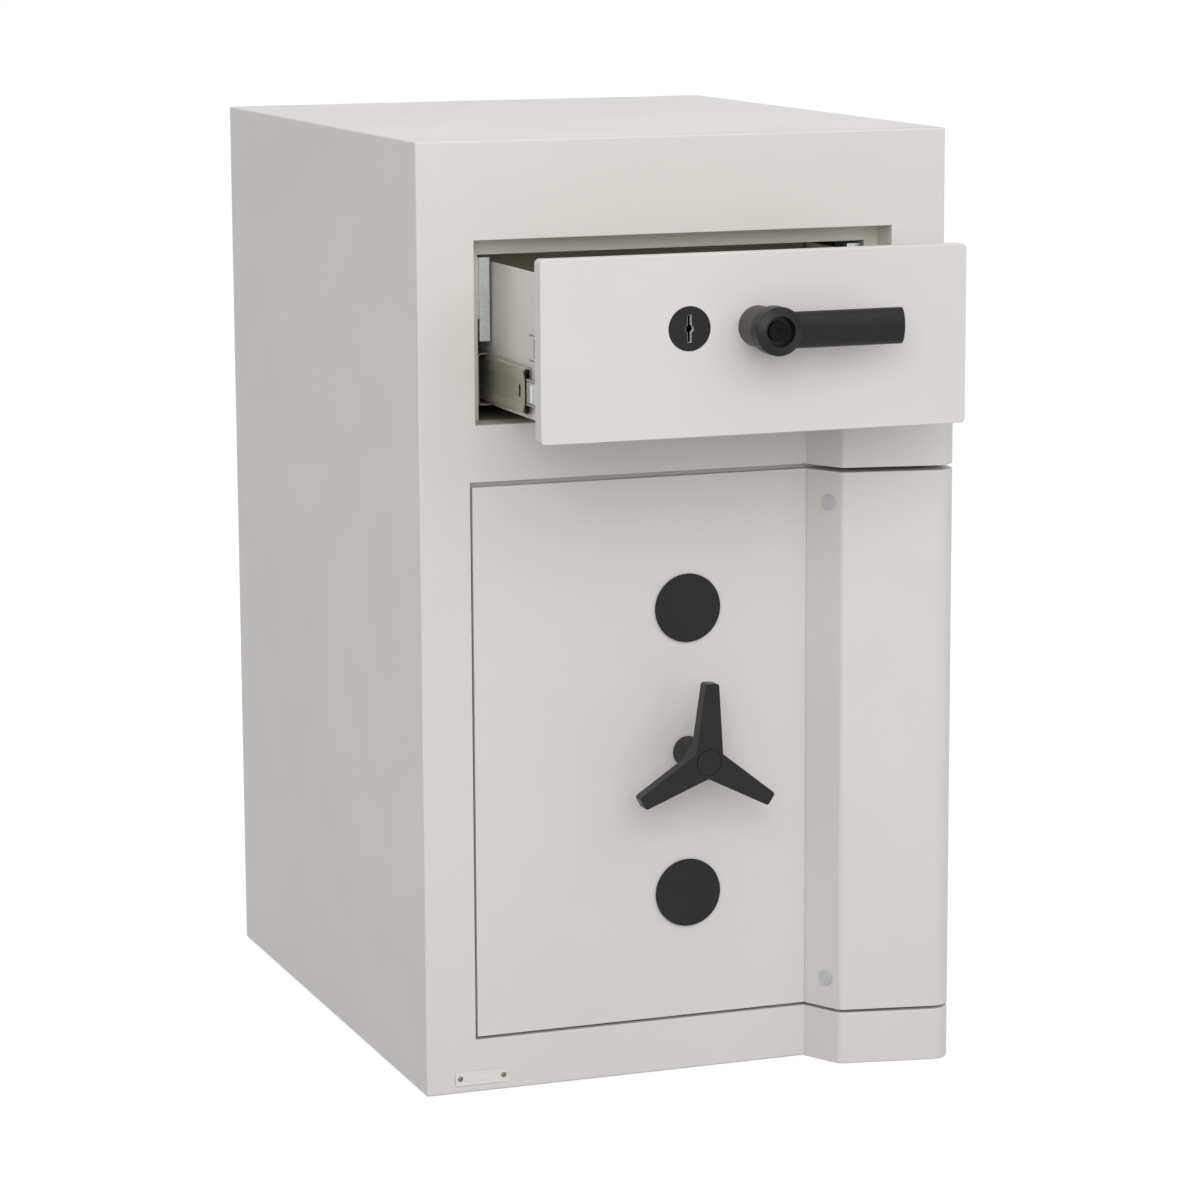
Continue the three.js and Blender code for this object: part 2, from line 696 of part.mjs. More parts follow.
// Lever with its spindle, and the two side bolts that it draws
function makeLever() {
  const collar = cut(
    rodY(0, leverHeight, collarRadius, [-collarLength - seat, -seat], 40),
    rodY(0, leverHeight, leverShaftRadius + past, [-bodyDepth, past], 24),
  );
  piece(drawer, "lever_collar", collar, blackMetal);

  const lever = group(drawer, 0, 0, leverHeight);
  const hubBack = -collarLength - 2 * seat;
  const hubFront = hubBack - hubDepth;
  const rimFront = hubFront + hubChamfer.depth;
  const recessEnd = hubFront + hubRecessDepth;
  const grip = solid(
    new THREE.CylinderGeometry(gripHeight / 2, gripHeight / 2, leverReach, 32)
      .rotateZ(Math.PI / 2)
      .scale(1, gripDepth / gripHeight, 1)
      .translate(leverReach / 2, at(hubBack - gripSetback - gripDepth / 2), 0),
  );
  const handle = cut(
    join(
      coneY(0, 0, [hubRadius - hubChamfer.width, hubRadius], [hubFront, rimFront], 40),
      rodY(0, 0, hubRadius, [rimFront, hubBack], 40),
      grip,
    ),
    rodY(0, 0, hubRecessRadius, [hubFront - past, recessEnd]),
    rodY(0, 0, leverShaftRadius + seat, [hubBack - socketDepth, 0], 24),
  );
  piece(lever, "lever_handle", handle, blackMetal);

  const headFront = recessEnd - seat - screwHeadDepth;
  const socket = rodY(0, 0, screwSocket, [headFront - past, headFront + screwSocketDepth], 6);
  const screw = cut(rodY(0, 0, screwHeadRadius, [headFront, recessEnd - seat], 24), socket);
  piece(lever, "lever_screw", screw, blackPlastic);

  const crank = drawerThrow / 2;
  const leftTail = boltFront + (boltDepth + tailSheet + past) / 2;
  const rightTail = leftTail + tailSheet + tailGap;
  const camBack = leftTail - tailGap - seat;
  const camFront = camBack - camDiscThick;
  const pin = (x, tail) => rodY(x, -x, drawerPinRadius, [camFront + past, tail + tailSheet + past], 16);
  const spindle = join(
    rodY(0, 0, leverShaftRadius, [hubBack - socketDepth + seat, camBack], 24),
    rodY(0, 0, camDiscRadius, [camFront, camBack]),
    pin(crank, leftTail),
    pin(-crank, rightTail),
  );
  piece(lever, "lever_spindle", spindle, steel);

  const slotHalf = drawerPinRadius + pinGap;
  const swing = crank * Math.SQRT2;
  for (const [name, side] of Object.entries(sides)) {
    const tail = side < 0 ? leftTail : rightTail;
    const pinX = -side * crank;
    const pinLow = leverHeight + (side < 0 ? -swing : crank);
    const pinHigh = leverHeight + (side < 0 ? -crank : swing);
    const slot = block(
      [pinX - slotHalf, pinX + slotHalf],
      grown([tail, tail + tailSheet], past),
      grown([pinLow, pinHigh], slotHalf),
    );
    const bolt = [
      block(
        offMiddle(side, boltRoot, boxHalf + boltProud),
        [boltFront, boltFront + boltDepth],
        [boltLow, boltHigh],
      ),
      block(
        sorted(side * (boltRoot + 2 * past), pinX - side * (slotHalf + slotRim)),
        [tail, tail + tailSheet],
        [boltLow, pinHigh + slotHalf + slotRim],
      ),
    ];
    if (side < 0) {
      bolt.push(makeDrawerLug());
    }
    piece(group(drawer), "drawer_bolt_" + name, cut(join(...bolt), slot), steel);
  }
}

// Lug on the left bolt, which the drawer lock's bolt drops in front of or behind
function makeDrawerLug() {
  const x = drawerLockX + drawerLockBolt.width / 2 + drawerLug.gap;
  const top = boltHigh - drawerLockCase.lap - seat;
  return block([x, x + drawerLug.width], [boltFront - drawerLug.reach, boltFront + past], [boltLow, top]);
}

function makeDrawerLock() {
  const caseFront = panelThickness + seat;
  const caseLow = boltHigh - drawerLockCase.lap;
  const boltMiddle = caseFront + drawerLockCase.depth / 2 + drawerLockCase.boltSetback;
  const boltBlock = (gap, heights) =>
    block(
      around(drawerLockX, drawerLockBolt.width + 2 * gap),
      around(boltMiddle, drawerLockBolt.depth + 2 * gap),
      heights,
    );
  const lockCase = cut(
    block(
      around(drawerLockX, drawerLockCase.width),
      [caseFront, caseFront + drawerLockCase.depth],
      [caseLow, mechTop - mechSheet - drawerLockCase.headroom],
    ),
    boltBlock(seat, grown([caseLow, caseLow + drawerLockBolt.length], past)),
    keyhole(drawerLockX, leverHeight, [caseFront - past, caseFront + drawerLockCase.keyDepth]),
  );
  piece(drawer, "drawer_lock_case", lockCase, steel);
  const bolt = boltBlock(0, [caseLow + drawerLockBolt.lift, caseLow + drawerLockBolt.length]);
  piece(group(drawer), "drawer_lock_bolt", bolt, brass);
}

// Door plate, barrier, back plate with the bar's guides, bolt-work cover and dog bar
function makeDoor() {
  const shaftHole = (gap, depths) => rodY(0, handleHeight, handleShaftRadius + gap, depths);
  const lockZs = Object.values(lockHeights);
  const through = grown([0, frontPlate], past);
  const plate = cut(
    block([doorLeft, doorRight], [0, frontPlate], [doorBottom, doorTop]),
    shaftHole(shaftGap, through),
    ...lockZs.map((z) => keyhole(0, z, through)),
    ...lockZs.map((z) => rodY(0, z + coverPivotRise, studRadius + runningGap, through, 20)),
  );
  piece(door, "door_plate", plate, paint);

  const slabX = [barrier.left, barrier.right];
  const slabZ = [barrier.low, barrier.high];
  const fill = cut(
    block(slabX, [frontPlate + seat, frontPlate + seat + barrierDepth], slabZ),
    shaftHole(2 * shaftGap, [0, bodyDepth]),
    ...lockZs.map((z) => rodY(0, z, keyRoom.barrier, [0, bodyDepth], 24)),
  );
  piece(door, "door_barrier", fill, barrierMix);

  const backRear = backPlateFront + backPlate;
  const guideX = [barX - doorThrow - barGuide.before, barX + barWidth + barGuide.behind];
  const padDepths = [backRear - past, barDepths[0] - seat];
  const lipDepths = [backRear - past, barDepths[1] + barGuide.lip];
  const back = cut(
    join(
      block(slabX, [backPlateFront, backRear], slabZ),
      block(guideX, padDepths, [barHigh - barGuide.pad, barHigh + barGuide.rim]),
      block(guideX, lipDepths, [barHigh + seat, barHigh + barGuide.rim]),
      block(guideX, padDepths, [barLow - barGuide.rim, barLow + barGuide.pad]),
      block(guideX, lipDepths, [barLow - barGuide.rim, barLow - seat]),
    ),
    shaftHole(shaftGap, [0, bodyDepth]),
    ...lockZs.map((z) => rodY(0, z, keyRoom.plate, [0, bodyDepth], 24)),
  );
  piece(door, "door_back_plate", back, innerPaint);

  const panX = [guideX[0] - pan.guideGap - pan.sheet, barrier.right - pan.dogRoom];
  const panZ = grown([barrier.low, barrier.high], -pan.inset);
  const panRear = workFront + pan.depth;
  const cover = cut(
    block(panX, [workFront, panRear], panZ),
    block(grown(panX, -pan.sheet), [0, panRear - pan.sheet], grown(panZ, -pan.sheet)),
    ...doorBoltHeights.map((z) =>
      rodX(doorBoltDepth, z, doorBoltRadius + runningGap, [panX[0] - past, panX[0] + pan.sheet + past]),
    ),
  );
  piece(door, "bolt_work_cover", cover, innerPaint);

  const dogZ = around(handleHeight, dog.height);
  const dogRear = jambBack + dog.reach;
  const dogBar = join(
    block([panX[1] + dog.gap, barrier.right], [workFront, dogRear], dogZ),
    block([barrier.right - past, doorRight - dog.gap], [dogRear - dog.thick, dogRear], dogZ),
  );
  piece(door, "dog_bar", dogBar, steel);
}

// Spoke handle with its boss and spindle, and the bar with the bolts that its crank pin moves
function makeDoorHandle() {
  const hubBack = handleHubDepth - handleFront;
  const boss = cut(
    rodY(0, handleHeight, bossRadius, [hubBack + seat, -seat], 40),
    rodY(0, handleHeight, handleShaftRadius + shaftGap, [-bodyDepth, past]),
  );
  piece(door, "handle_boss", boss, blackMetal);

  const cornerX = spokeTip / 2 - spokeTipCorner;
  const cornerZ = spokeReach - spokeTipCorner;
  const outline = new THREE.Shape();
  outline.moveTo(-spokeRoot / 2, 0);
  outline.lineTo(spokeRoot / 2, 0);
  outline.absarc(cornerX, cornerZ, spokeTipCorner, 0, Math.PI / 2, false);
  outline.absarc(-cornerX, cornerZ, spokeTipCorner, Math.PI / 2, Math.PI, false);
  const spokes = [0, 120, 240].map((turn) =>
    drawBack(outline, [-handleFront, -handleFront + spokeDepth]).rotate([0, turn + spokeTurn, 0]),
  );
  const grooveDepths = [-handleFront - past, -handleFront + hubCapGroove.depth];
  const groove = cut(
    rodY(0, 0, hubCapRadius + hubCapGroove.width, grooveDepths, 40),
    rodY(0, 0, hubCapRadius, grown(grooveDepths, past), 40),
  );
  const handle = group(door, 0, 0, handleHeight);
  const spokeHandle = cut(
    join(rodY(0, 0, handleHubRadius, [-handleFront + past, hubBack], 40), ...spokes),
    rodY(0, 0, handleShaftRadius + seat, [hubBack - handleSocket, 0]),
    groove,
  );
  piece(handle, "spoke_handle", spokeHandle, blackMetal);

  const crank = doorThrow / 2;
  const crankEnd = barDepths[1] + barGuide.lip;
  const spindle = join(
    rodY(0, 0, handleShaftRadius, [hubBack - handleSocket + seat, workFront + past]),
    rodY(0, 0, camRadius, [workFront, workFront + camThick]),
    rodY(crank, crank, crankRadius, [workFront + past, crankEnd], 16),
  );
  piece(handle, "handle_spindle", spindle, steel);

  const slotHalf = crankRadius + crankGap;
  const slotLow = handleHeight + crank - slotHalf;
  const slotHigh = handleHeight + crank * Math.SQRT2 + slotHalf;
  const link = [slotLow - linkRim.low, slotHigh + linkRim.high];
  const lugX = doorLock.bolt / 2 + lug.gap;
  const lugReach = doorLock.height / 2 + lug.clear;
  const carriage = cut(
    join(
      block([barX, barX + barWidth], barDepths, [barLow, barHigh]),
      block([barX + past, crank + slotHalf + linkRim.high], barDepths, link),
      block([lugX, lugX + lug.width], barDepths, [lockHeights.bottom + lugReach, link[0] + past]),
      block([lugX, lugX + lug.width], barDepths, [link[1] - past, lockHeights.top - lugReach]),
      ...doorBoltHeights.map((z) => rodX(doorBoltDepth, z, doorBoltRadius, [boltTipX, barX + past])),
    ),
    block([crank - slotHalf, crank + slotHalf], [0, bodyDepth], [slotLow, slotHigh]),
  );
  piece(group(door), "bolt_carriage", carriage, steel);
}

// The two key locks: case, bolt, and the disc that swings over the keyhole
function makeDoorLocks() {
  for (const [name, z] of Object.entries(lockHeights)) {
    const toHandle = Math.sign(handleHeight - z);
    const face = z + (toHandle * doorLock.height) / 2;
    const boltBlock = (gap, before, behind) =>
      block(
        around(0, doorLock.bolt + 2 * gap),
        grown(barDepths, gap),
        sorted(face + toHandle * before, face - toHandle * behind),
      );
    const lockCase = cut(
      block(
        around(0, doorLock.width),
        [workFront, barDepths[1] + doorLock.rear],
        around(z, doorLock.height),
      ),
      boltBlock(runningGap, past, doorLock.boltLength + past),
      keyhole(0, z, [0, workFront + keyRoom.pocket]),
    );
    piece(door, "door_lock_case_" + name, lockCase, steel);
    piece(group(door), "door_lock_bolt_" + name, boltBlock(0, -seat, doorLock.boltLength), brass);

    const cover = join(
      rodY(0, 0, coverRadius, [-coverStandoff - coverThick, -coverStandoff], 48),
      rodY(0, coverPivotRise, studRadius, [-coverStandoff - past, frontPlate - seat], 16),
    );
    piece(group(door, 0, 0, z), "key_cover_" + name, cover, blackMetal);
  }
}

// Hinge cover, hinge arms and the capped screws that hold the cover to them
function makeHinge() {
  const bevelAngle = Math.atan2(bevelRun, bevelOut);
  const capX = columnLeft + (capOut * bevelRun) / bevelOut;
  const intoBevel = (z, radius, [from, to], facets) =>
    solid(
      new THREE.CylinderGeometry(radius, radius, to - from, facets)
        .translate(0, (from + to) / 2, 0)
        .rotateZ(-Math.PI / 2 + bevelAngle)
        .translate(capX, at(-capOut), z),
    );
  const shell = raise(columnOutline(0, -seat, -coverRearGap), [doorBottom, doorTop]);
  const hollow = raise(columnOutline(coverSheet, coverSheet), grown([doorBottom, doorTop], -coverSheet));
  const cover = cut(
    shell,
    hollow,
    rodZ(hingeX, -hingeOut, hingeShoulder + pinHoleGap, grown([doorBottom, doorTop], past)),
    ...Object.values(arms).map((z) => intoBevel(z, screwRadius + seat, grown([0, coverSheet], past), 20)),
  );
  piece(door, "hinge_cover", cover, paint);

  for (const [name, z] of Object.entries(arms)) {
    const outline = new THREE.Shape();
    outline.moveTo(columnLeft + armStart, -seat);
    outline.lineTo(columnLeft + armNose, -bevelOut + armCover);
    outline.lineTo(hingeX, -hingeOut - hingeShoulder);
    outline.lineTo(hingeX, -hingeOut + hingeShoulder);
    outline.lineTo(doorRight - past, -seat);
    const heights = around(z, armHeight);
    const arm = cut(
      join(raise(outline, heights), rodZ(hingeX, -hingeOut, hingePinRadius + armWall, heights)),
      rodZ(hingeX, -hingeOut, hingePinRadius + runningGap, grown(heights, past)),
      intoBevel(z, screwRadius + seat, grown([0, screwLength], past), 20),
    );
    piece(door, "hinge_arm_" + name, arm, steel);
    const screw = join(
      intoBevel(z, screwRadius, [-seat - capSheet / 2, screwLength], 16),
      intoBevel(z, capRadius, [-seat - capSheet, -seat], 32),
    );
    piece(door, "cover_screw_" + name, screw, paleCap);
  }
}

makeBody();
makeLiners();
makeColumn();
makeBay();
makeMiddleSlides();
makeDrawer();
makeLever();
makeDrawerLock();
makeDoor();
makeDoorHandle();
makeDoorLocks();
makeHinge();

export default safe;
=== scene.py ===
"""Looks of a drop safe with a deposit drawer: finishes, furniture, slides and small hardware."""
import logging
import math
from dataclasses import dataclass, field
from enum import Enum
from typing import Callable, Sequence

import bmesh
import bpy
from mathutils import Matrix, Vector


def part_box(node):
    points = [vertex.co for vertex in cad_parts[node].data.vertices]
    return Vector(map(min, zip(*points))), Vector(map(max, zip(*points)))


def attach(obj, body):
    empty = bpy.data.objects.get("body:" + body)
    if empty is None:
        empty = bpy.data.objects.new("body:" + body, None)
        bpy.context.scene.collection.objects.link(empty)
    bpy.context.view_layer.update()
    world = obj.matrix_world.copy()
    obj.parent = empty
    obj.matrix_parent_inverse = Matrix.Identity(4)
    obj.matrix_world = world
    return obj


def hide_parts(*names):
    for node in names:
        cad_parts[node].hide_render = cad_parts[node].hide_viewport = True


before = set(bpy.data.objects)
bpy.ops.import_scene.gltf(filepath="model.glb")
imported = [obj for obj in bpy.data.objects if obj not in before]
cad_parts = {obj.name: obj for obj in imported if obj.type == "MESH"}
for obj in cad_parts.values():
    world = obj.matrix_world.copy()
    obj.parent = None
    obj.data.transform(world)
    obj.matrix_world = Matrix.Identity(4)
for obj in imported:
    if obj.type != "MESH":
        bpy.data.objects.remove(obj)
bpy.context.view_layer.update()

LOG = logging.getLogger("drop_safe")
MM = 0.001
# How near points lie to be on one plane, and to be one point
ON_PLANE = 0.05 * MM
SAME_POINT = 0.001 * MM
# Turn from face to face: above the first an edge looks sharp, above the second it is rounded,
# and below the third it is only a joint in a flat face
SHARP = math.radians(40)
CREASE = math.radians(25)
FLAT = math.radians(0.5)
# How much of an upright edge's length runs along z, at least
UPRIGHT = 0.99
# Steps in the round corner of an outline
CORNER_STEPS = 6
# Where most values of a texture lie, and how many patches of gloss lie beside one patch of tone
TEXTURE_LOW = 0.3
TEXTURE_HIGH = 0.7
GLOSS_PATCHES = 4
WHITE = (1.0, 1.0, 1.0, 1.0)
Point2 = tuple[float, float]
Point3 = tuple[float, float, float]
Loop = list[Vector]
Row = list[bmesh.types.BMVert]
Edge = bmesh.types.BMEdge
Socket = bpy.types.NodeSocket


class Body(Enum):
    """Bodies of the part that the scene's own pieces ride on."""

    ROOT = "root"
    DRAWER = "drawer"
    SLIDE_LEFT = "slide_middle_left"
    SLIDE_RIGHT = "slide_middle_right"
    LEVER = "lever"
    DOOR = "door"
    HANDLE = "handle"


class Slot(Enum):
    """Places for a finish in the part's record."""

    BODY_PAINT = "body_paint"
    INNER_PAINT = "inner_paint"
    DRAWER_PAINT = "drawer_paint"
    BARRIER = "barrier"
    ZINC = "zinc"
    STEEL = "steel"
    BLACK_METAL = "black_metal"
    BLACK_PLASTIC = "black_plastic"
    BRASS = "brass"
    PALE_CAP = "pale_cap"
    PLATE = "plate"


class Side(Enum):
    """Left and right of the safe, as the sign of x."""

    LEFT = -1
    RIGHT = 1

    @property
    def word(self) -> str:
        """The side's name as node names spell it."""
        return self.name.lower()

    @property
    def slide_body(self) -> Body:
        """The body of the slide's middle member on this side."""
        return Body("slide_middle_" + self.word)

    @property
    def outward(self) -> Vector:
        """The direction away from the safe's middle."""
        return Vector((self.value, 0, 0))


def linear(channel: float) -> float:
    """Turn one display channel into a linear one.

    Args:
        channel: A display value from 0 to 255.

    Returns:
        The linear value from 0 to 1.
    """
    share = channel / 255
    return share / 12.92 if share <= 0.04045 else ((share + 0.055) / 1.055) ** 2.4


def tint(colour: Sequence[float], factor: float = 1.0) -> tuple[float, float, float, float]:
    """Make a shader colour, lighter or darker than the one given.

    Args:
        colour: Red, green and blue as display values from 0 to 255.
        factor: What the linear values are multiplied by.

    Returns:
        Linear red, green and blue with an alpha of 1.
    """
    red, green, blue = (min(1.0, linear(channel) * factor) for channel in colour)
    return red, green, blue, 1.0


class NodeTree:
    """A short way to add and join shader nodes."""

    def __init__(self, tree: bpy.types.NodeTree) -> None:
        """Keep the tree and clear it."""
        self.tree = tree
        self.tree.nodes.clear()

    def add(self, kind: str, **inputs: object) -> bpy.types.Node:
        """Add a node and feed its inputs.

        Args:
            kind: The node's type without the words ShaderNode.
            **inputs: A value or a socket for each named input, with _ for a space.

        Returns:
            The new node.
        """
        node = self.tree.nodes.new("ShaderNode" + kind)
        for key, value in inputs.items():
            socket = node.inputs[key.replace("_", " ")]
            if isinstance(value, Socket):
                self.tree.links.new(value, socket)
            else:
                socket.default_value = value
        return node

    def feed(self, node: bpy.types.Node, first: int, *sources: Socket) -> Socket:
        """Feed inputs that share a name, in their order.

        Args:
            node: The node.
            first: Index of the first of these inputs.
            *sources: What feeds it and those after it.

        Returns:
            The node's first output.
        """
        for index, source in enumerate(sources, first):
            self.tree.links.new(source, node.inputs[index])
        return node.outputs[0]

    def larger(self, one: Socket, other: Socket) -> Socket:
        """Give the larger of two numbers.

        Args:
            one: The first number.
            other: The second number.

        Returns:
            The socket with the larger one.
        """
        node = self.add("Math")
        node.operation = "MAXIMUM"
        return self.feed(node, 0, one, other)

    def choice(self, factor: Socket, at_zero: Socket, at_one: Socket) -> Socket:
        """Mix two shaders.

        Args:
            factor: How much of the second one shows.
            at_zero: The first shader.
            at_one: The second shader.

        Returns:
            The socket with the mix.
        """
        return self.feed(self.add("MixShader", Fac=factor), 1, at_zero, at_one)


@dataclass(frozen=True)
class Finish:
    """A surface finish with a soft change of tone, a fine grain and a gloss that varies a little.

    Attributes:
        name: The material's name.
        slot: The record's slot for it.
        colour: Display colour, 0 to 255.
        roughness: Middle roughness.
        metallic: 0 for paint and plastic, 1 for bare metal.
        tone: Patches per metre and how far they stray, as a share.
        grain: Grains per metre and their height.
        gloss: How far the roughness strays either way.
        stretch: How the patches and grain are drawn out along x, y and z.
        specular: Strength of the reflection at the surface.
    """

    name: str
    slot: Slot
    colour: tuple[int, int, int]
    roughness: float
    metallic: float = 0.0
    tone: Point2 = (6.0, 0.03)
    grain: Point2 = (1400.0, 0.02 * MM)
    gloss: float = 0.04
    stretch: Point3 = (1.0, 1.0, 1.0)
    specular: float = 0.5

    def colour_source(self, nodes: NodeTree, place: Socket) -> Socket:
        """Make the colour that varies in soft patches.

        Args:
            nodes: The tree that is being built.
            place: The point in the piece's own space.

        Returns:
            The socket that gives the colour.
        """
        scale, spread = self.tone
        patches = nodes.add("TexNoise", Vector=place, Scale=scale, Detail=5.0, Roughness=0.6)
        return self.between(nodes, patches.outputs["Fac"], spread)

    def between(self, nodes: NodeTree, factor: Socket, spread: float) -> Socket:
        """Mix a darker and a lighter tone of the colour.

        Args:
            nodes: The tree that is being built.
            factor: Low for the darker tone and high for the lighter one.
            spread: How far the tones lie from the colour, as a share.

        Returns:
            The socket that gives the mixed colour.
        """
        ramp = nodes.add("ValToRGB", Fac=factor)
        low, high = ramp.color_ramp.elements
        low.position, high.position = TEXTURE_LOW, TEXTURE_HIGH
        low.color, high.color = tint(self.colour, 1 - spread), tint(self.colour, 1 + spread)
        return ramp.outputs["Color"]

    def material(self) -> bpy.types.Material:
        """Give the Blender material, made on first use.

        Returns:
            The material of this finish.
        """
        made = bpy.data.materials.get(self.name)
        if made is not None and made.get("finish") == self.name:
            return made
        made = bpy.data.materials.new(self.name)
        made["finish"] = self.name
        made.use_nodes = True
        nodes = NodeTree(made.node_tree)
        here = nodes.add("TexCoord").outputs["Object"]
        place = nodes.add("Mapping", Vector=here, Scale=self.stretch).outputs["Vector"]
        cloud = nodes.add("TexNoise", Vector=place, Scale=self.tone[0] * GLOSS_PATCHES, Detail=3.0)
        gloss = nodes.add(
            "MapRange",
            Value=cloud.outputs["Fac"],
            From_Min=TEXTURE_LOW,
            From_Max=TEXTURE_HIGH,
            To_Min=self.roughness - self.gloss,
            To_Max=self.roughness + self.gloss,
        )
        skin = nodes.add("TexNoise", Vector=place, Scale=self.grain[0], Detail=2.0)
        bump = nodes.add("Bump", Height=skin.outputs["Fac"], Strength=1.0, Distance=self.grain[1])
        surface = nodes.add(
            "BsdfPrincipled",
            Base_Color=self.colour_source(nodes, place),
            Roughness=gloss.outputs["Result"],
            Normal=bump.outputs["Normal"],
            Metallic=self.metallic,
            Specular_IOR_Level=self.specular,
        )
        nodes.add("OutputMaterial", Surface=surface.outputs["BSDF"])
        return made


@dataclass(frozen=True)
class CellFinish(Finish):
    """A finish whose tone changes from cell to cell, as on zinc crystals or in a gravelly mix.

    Attributes:
        cells: Cells per metre.
    """

    cells: float = 90.0

    def colour_source(self, nodes: NodeTree, place: Socket) -> Socket:
        """Make a colour that changes from cell to cell.

        Args:
            nodes: The tree that is being built.
            place: The point in the piece's own space.

        Returns:
            The socket that gives the colour.
        """
        crystals = nodes.add("TexVoronoi", Vector=place, Scale=self.cells)
        grey = nodes.add("RGBToBW", Color=crystals.outputs["Color"])
        return self.between(nodes, grey.outputs["Val"], self.tone[1])


# Draws patches and grain out along y, as rolling does
ROLLED = (1.0, 0.08, 1.0)
PAINT = Finish("grey_paint", Slot.BODY_PAINT, (213, 210, 207), 0.38, tone=(3.0, 0.02))
RECESS_PAINT = Finish("recess_paint", Slot.BODY_PAINT, (206, 203, 195), 0.45, tone=(5.0, 0.03))
INNER_PAINT = Finish("vault_paint", Slot.INNER_PAINT, (206, 203, 194), 0.5, tone=(4.0, 0.03))
# Drawer bay's liner, flap and stop bar: darker and more olive than the vault's paint, as painted shade for
# the little light that reaches into the bay
BAY_SHADE_PAINT = Finish("bay_paint", Slot.INNER_PAINT, (146, 143, 128), 0.55, tone=(6.0, 0.05))
DRAWER_PAINT = Finish("box_paint", Slot.DRAWER_PAINT, (223, 220, 214), 0.5, tone=(5.0, 0.03))
GUIDE_PAINT = Finish("guide_paint", Slot.DRAWER_PAINT, (216, 213, 207), 0.42, tone=(20.0, 0.03))
# Much darker than the guide's face: a painted shadow line along the guide's low border, where its edge stands
# off the box side
GUIDE_SHADOW_LINE = Finish("guide_border", Slot.DRAWER_PAINT, (142, 139, 130), 0.5, tone=(20.0, 0.05))
BARRIER_MIX = CellFinish("barrier_mix", Slot.BARRIER, (150, 146, 137), 0.9, tone=(8.0, 0.2), cells=260.0)
SEALED_MIX = Finish(
    "sealed_barrier", Slot.BARRIER, (196, 193, 184), 0.6, tone=(14.0, 0.05), grain=(900.0, 0.04 * MM)
)
ZINC = CellFinish(
    "zinc_plate",
    Slot.ZINC,
    (212, 218, 217),
    0.36,
    0.8,
    tone=(25.0, 0.05),
    grain=(700.0, 0.01 * MM),
    cells=420.0,
)
SLIDE_STEEL = Finish("slide_steel", Slot.ZINC, (182, 181, 168), 0.38, 0.8, tone=(30.0, 0.1), stretch=ROLLED)
# Outer slide members: steel darkened and dulled as painted shade, deep in the drawer's opening where no
# bright edge shows
OUTER_SLIDE_SHADE = Finish(
    "oiled_steel", Slot.ZINC, (104, 103, 95), 0.5, 0.5, tone=(30.0, 0.1), stretch=ROLLED, specular=0.3
)
STEEL = Finish(
    "bright_steel", Slot.STEEL, (160, 161, 160), 0.36, 0.95, tone=(20.0, 0.1), stretch=(0.25, 0.25, 1.0)
)
BALL_STEEL = Finish("ball_steel", Slot.STEEL, (190, 190, 188), 0.14, 1.0, tone=(40.0, 0.04))
BLACK = Finish(
    "satin_black",
    Slot.BLACK_METAL,
    (22, 22, 24),
    0.5,
    tone=(25.0, 0.12),
    grain=(2200.0, 0.01 * MM),
    specular=0.26,
)
LEVER_BLACK = Finish(
    "lever_black",
    Slot.BLACK_METAL,
    (22, 22, 23),
    0.36,
    tone=(30.0, 0.12),
    grain=(1800.0, 0.01 * MM),
    specular=0.24,
)
COLLAR_BLACK = Finish(
    "worn_black",
    Slot.BLACK_METAL,
    (62, 58, 50),
    0.46,
    tone=(45.0, 0.16),
    stretch=(1.0, 0.2, 1.0),
    specular=0.4,
)
BLACK_CAST = Finish(
    "cast_black",
    Slot.BLACK_METAL,
    (20, 20, 21),
    0.34,
    tone=(30.0, 0.14),
    grain=(1500.0, 0.02 * MM),
    specular=0.28,
)
BOSS_BLACK = Finish("boss_black", Slot.BLACK_METAL, (34, 33, 28), 0.55, tone=(30.0, 0.14), specular=0.3)
BLACK_PLASTIC = Finish(
    "moulded_black", Slot.BLACK_PLASTIC, (20, 20, 20), 0.5, tone=(30.0, 0.1), specular=0.2
)
SOCKET_BLACK = Finish("socket_black", Slot.BLACK_METAL, (13, 13, 13), 0.6, tone=(60.0, 0.2), specular=0.12)
# Near-black sleeve in the keyhole behind its metal lining: painted shade deep inside the keyhole
KEYHOLE_SHADE = Finish("lock_dark", Slot.BLACK_PLASTIC, (6, 6, 6), 0.8, tone=(30.0, 0.1), specular=0.05)
NICKEL = Finish("keyhole_nickel", Slot.STEEL, (244, 242, 230), 0.4, 0.2, tone=(60.0, 0.04))
BRASS = Finish("turned_brass", Slot.BRASS, (190, 168, 112), 0.3, 0.95, tone=(35.0, 0.1))
PALE_CAP = Finish("cap_enamel", Slot.PALE_CAP, (192, 194, 195), 0.45, tone=(120.0, 0.05), specular=0.3)
PLATE = Finish(
    "plate_metal", Slot.PLATE, (205, 203, 200), 0.3, 0.7, tone=(60.0, 0.05), stretch=(0.1, 1.0, 1.0)
)
RIVET = Finish("rivet_metal", Slot.PLATE, (122, 108, 98), 0.26, 0.85, tone=(80.0, 0.1))


@dataclass(frozen=True)
class Span:
    """The box of a node.

    Attributes:
        low: Its lowest corner.
        high: Its highest corner.
    """

    low: Vector
    high: Vector

    @classmethod
    def of(cls, node: str) -> "Span":
        """Measure a node of the frame."""
        return cls(*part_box(node))

    @property
    def centre(self) -> Vector:
        """The middle of the box."""
        return (self.low + self.high) / 2

    @property
    def size(self) -> Vector:
        """Width, depth and height."""
        return self.high - self.low

    def outer(self, side: Side) -> float:
        """The x of the face that looks out on that side."""
        return self.high.x if side is Side.RIGHT else self.low.x

    def inner(self, side: Side) -> float:
        """The x of the face that looks to the safe's middle on that side."""
        return self.low.x if side is Side.RIGHT else self.high.x


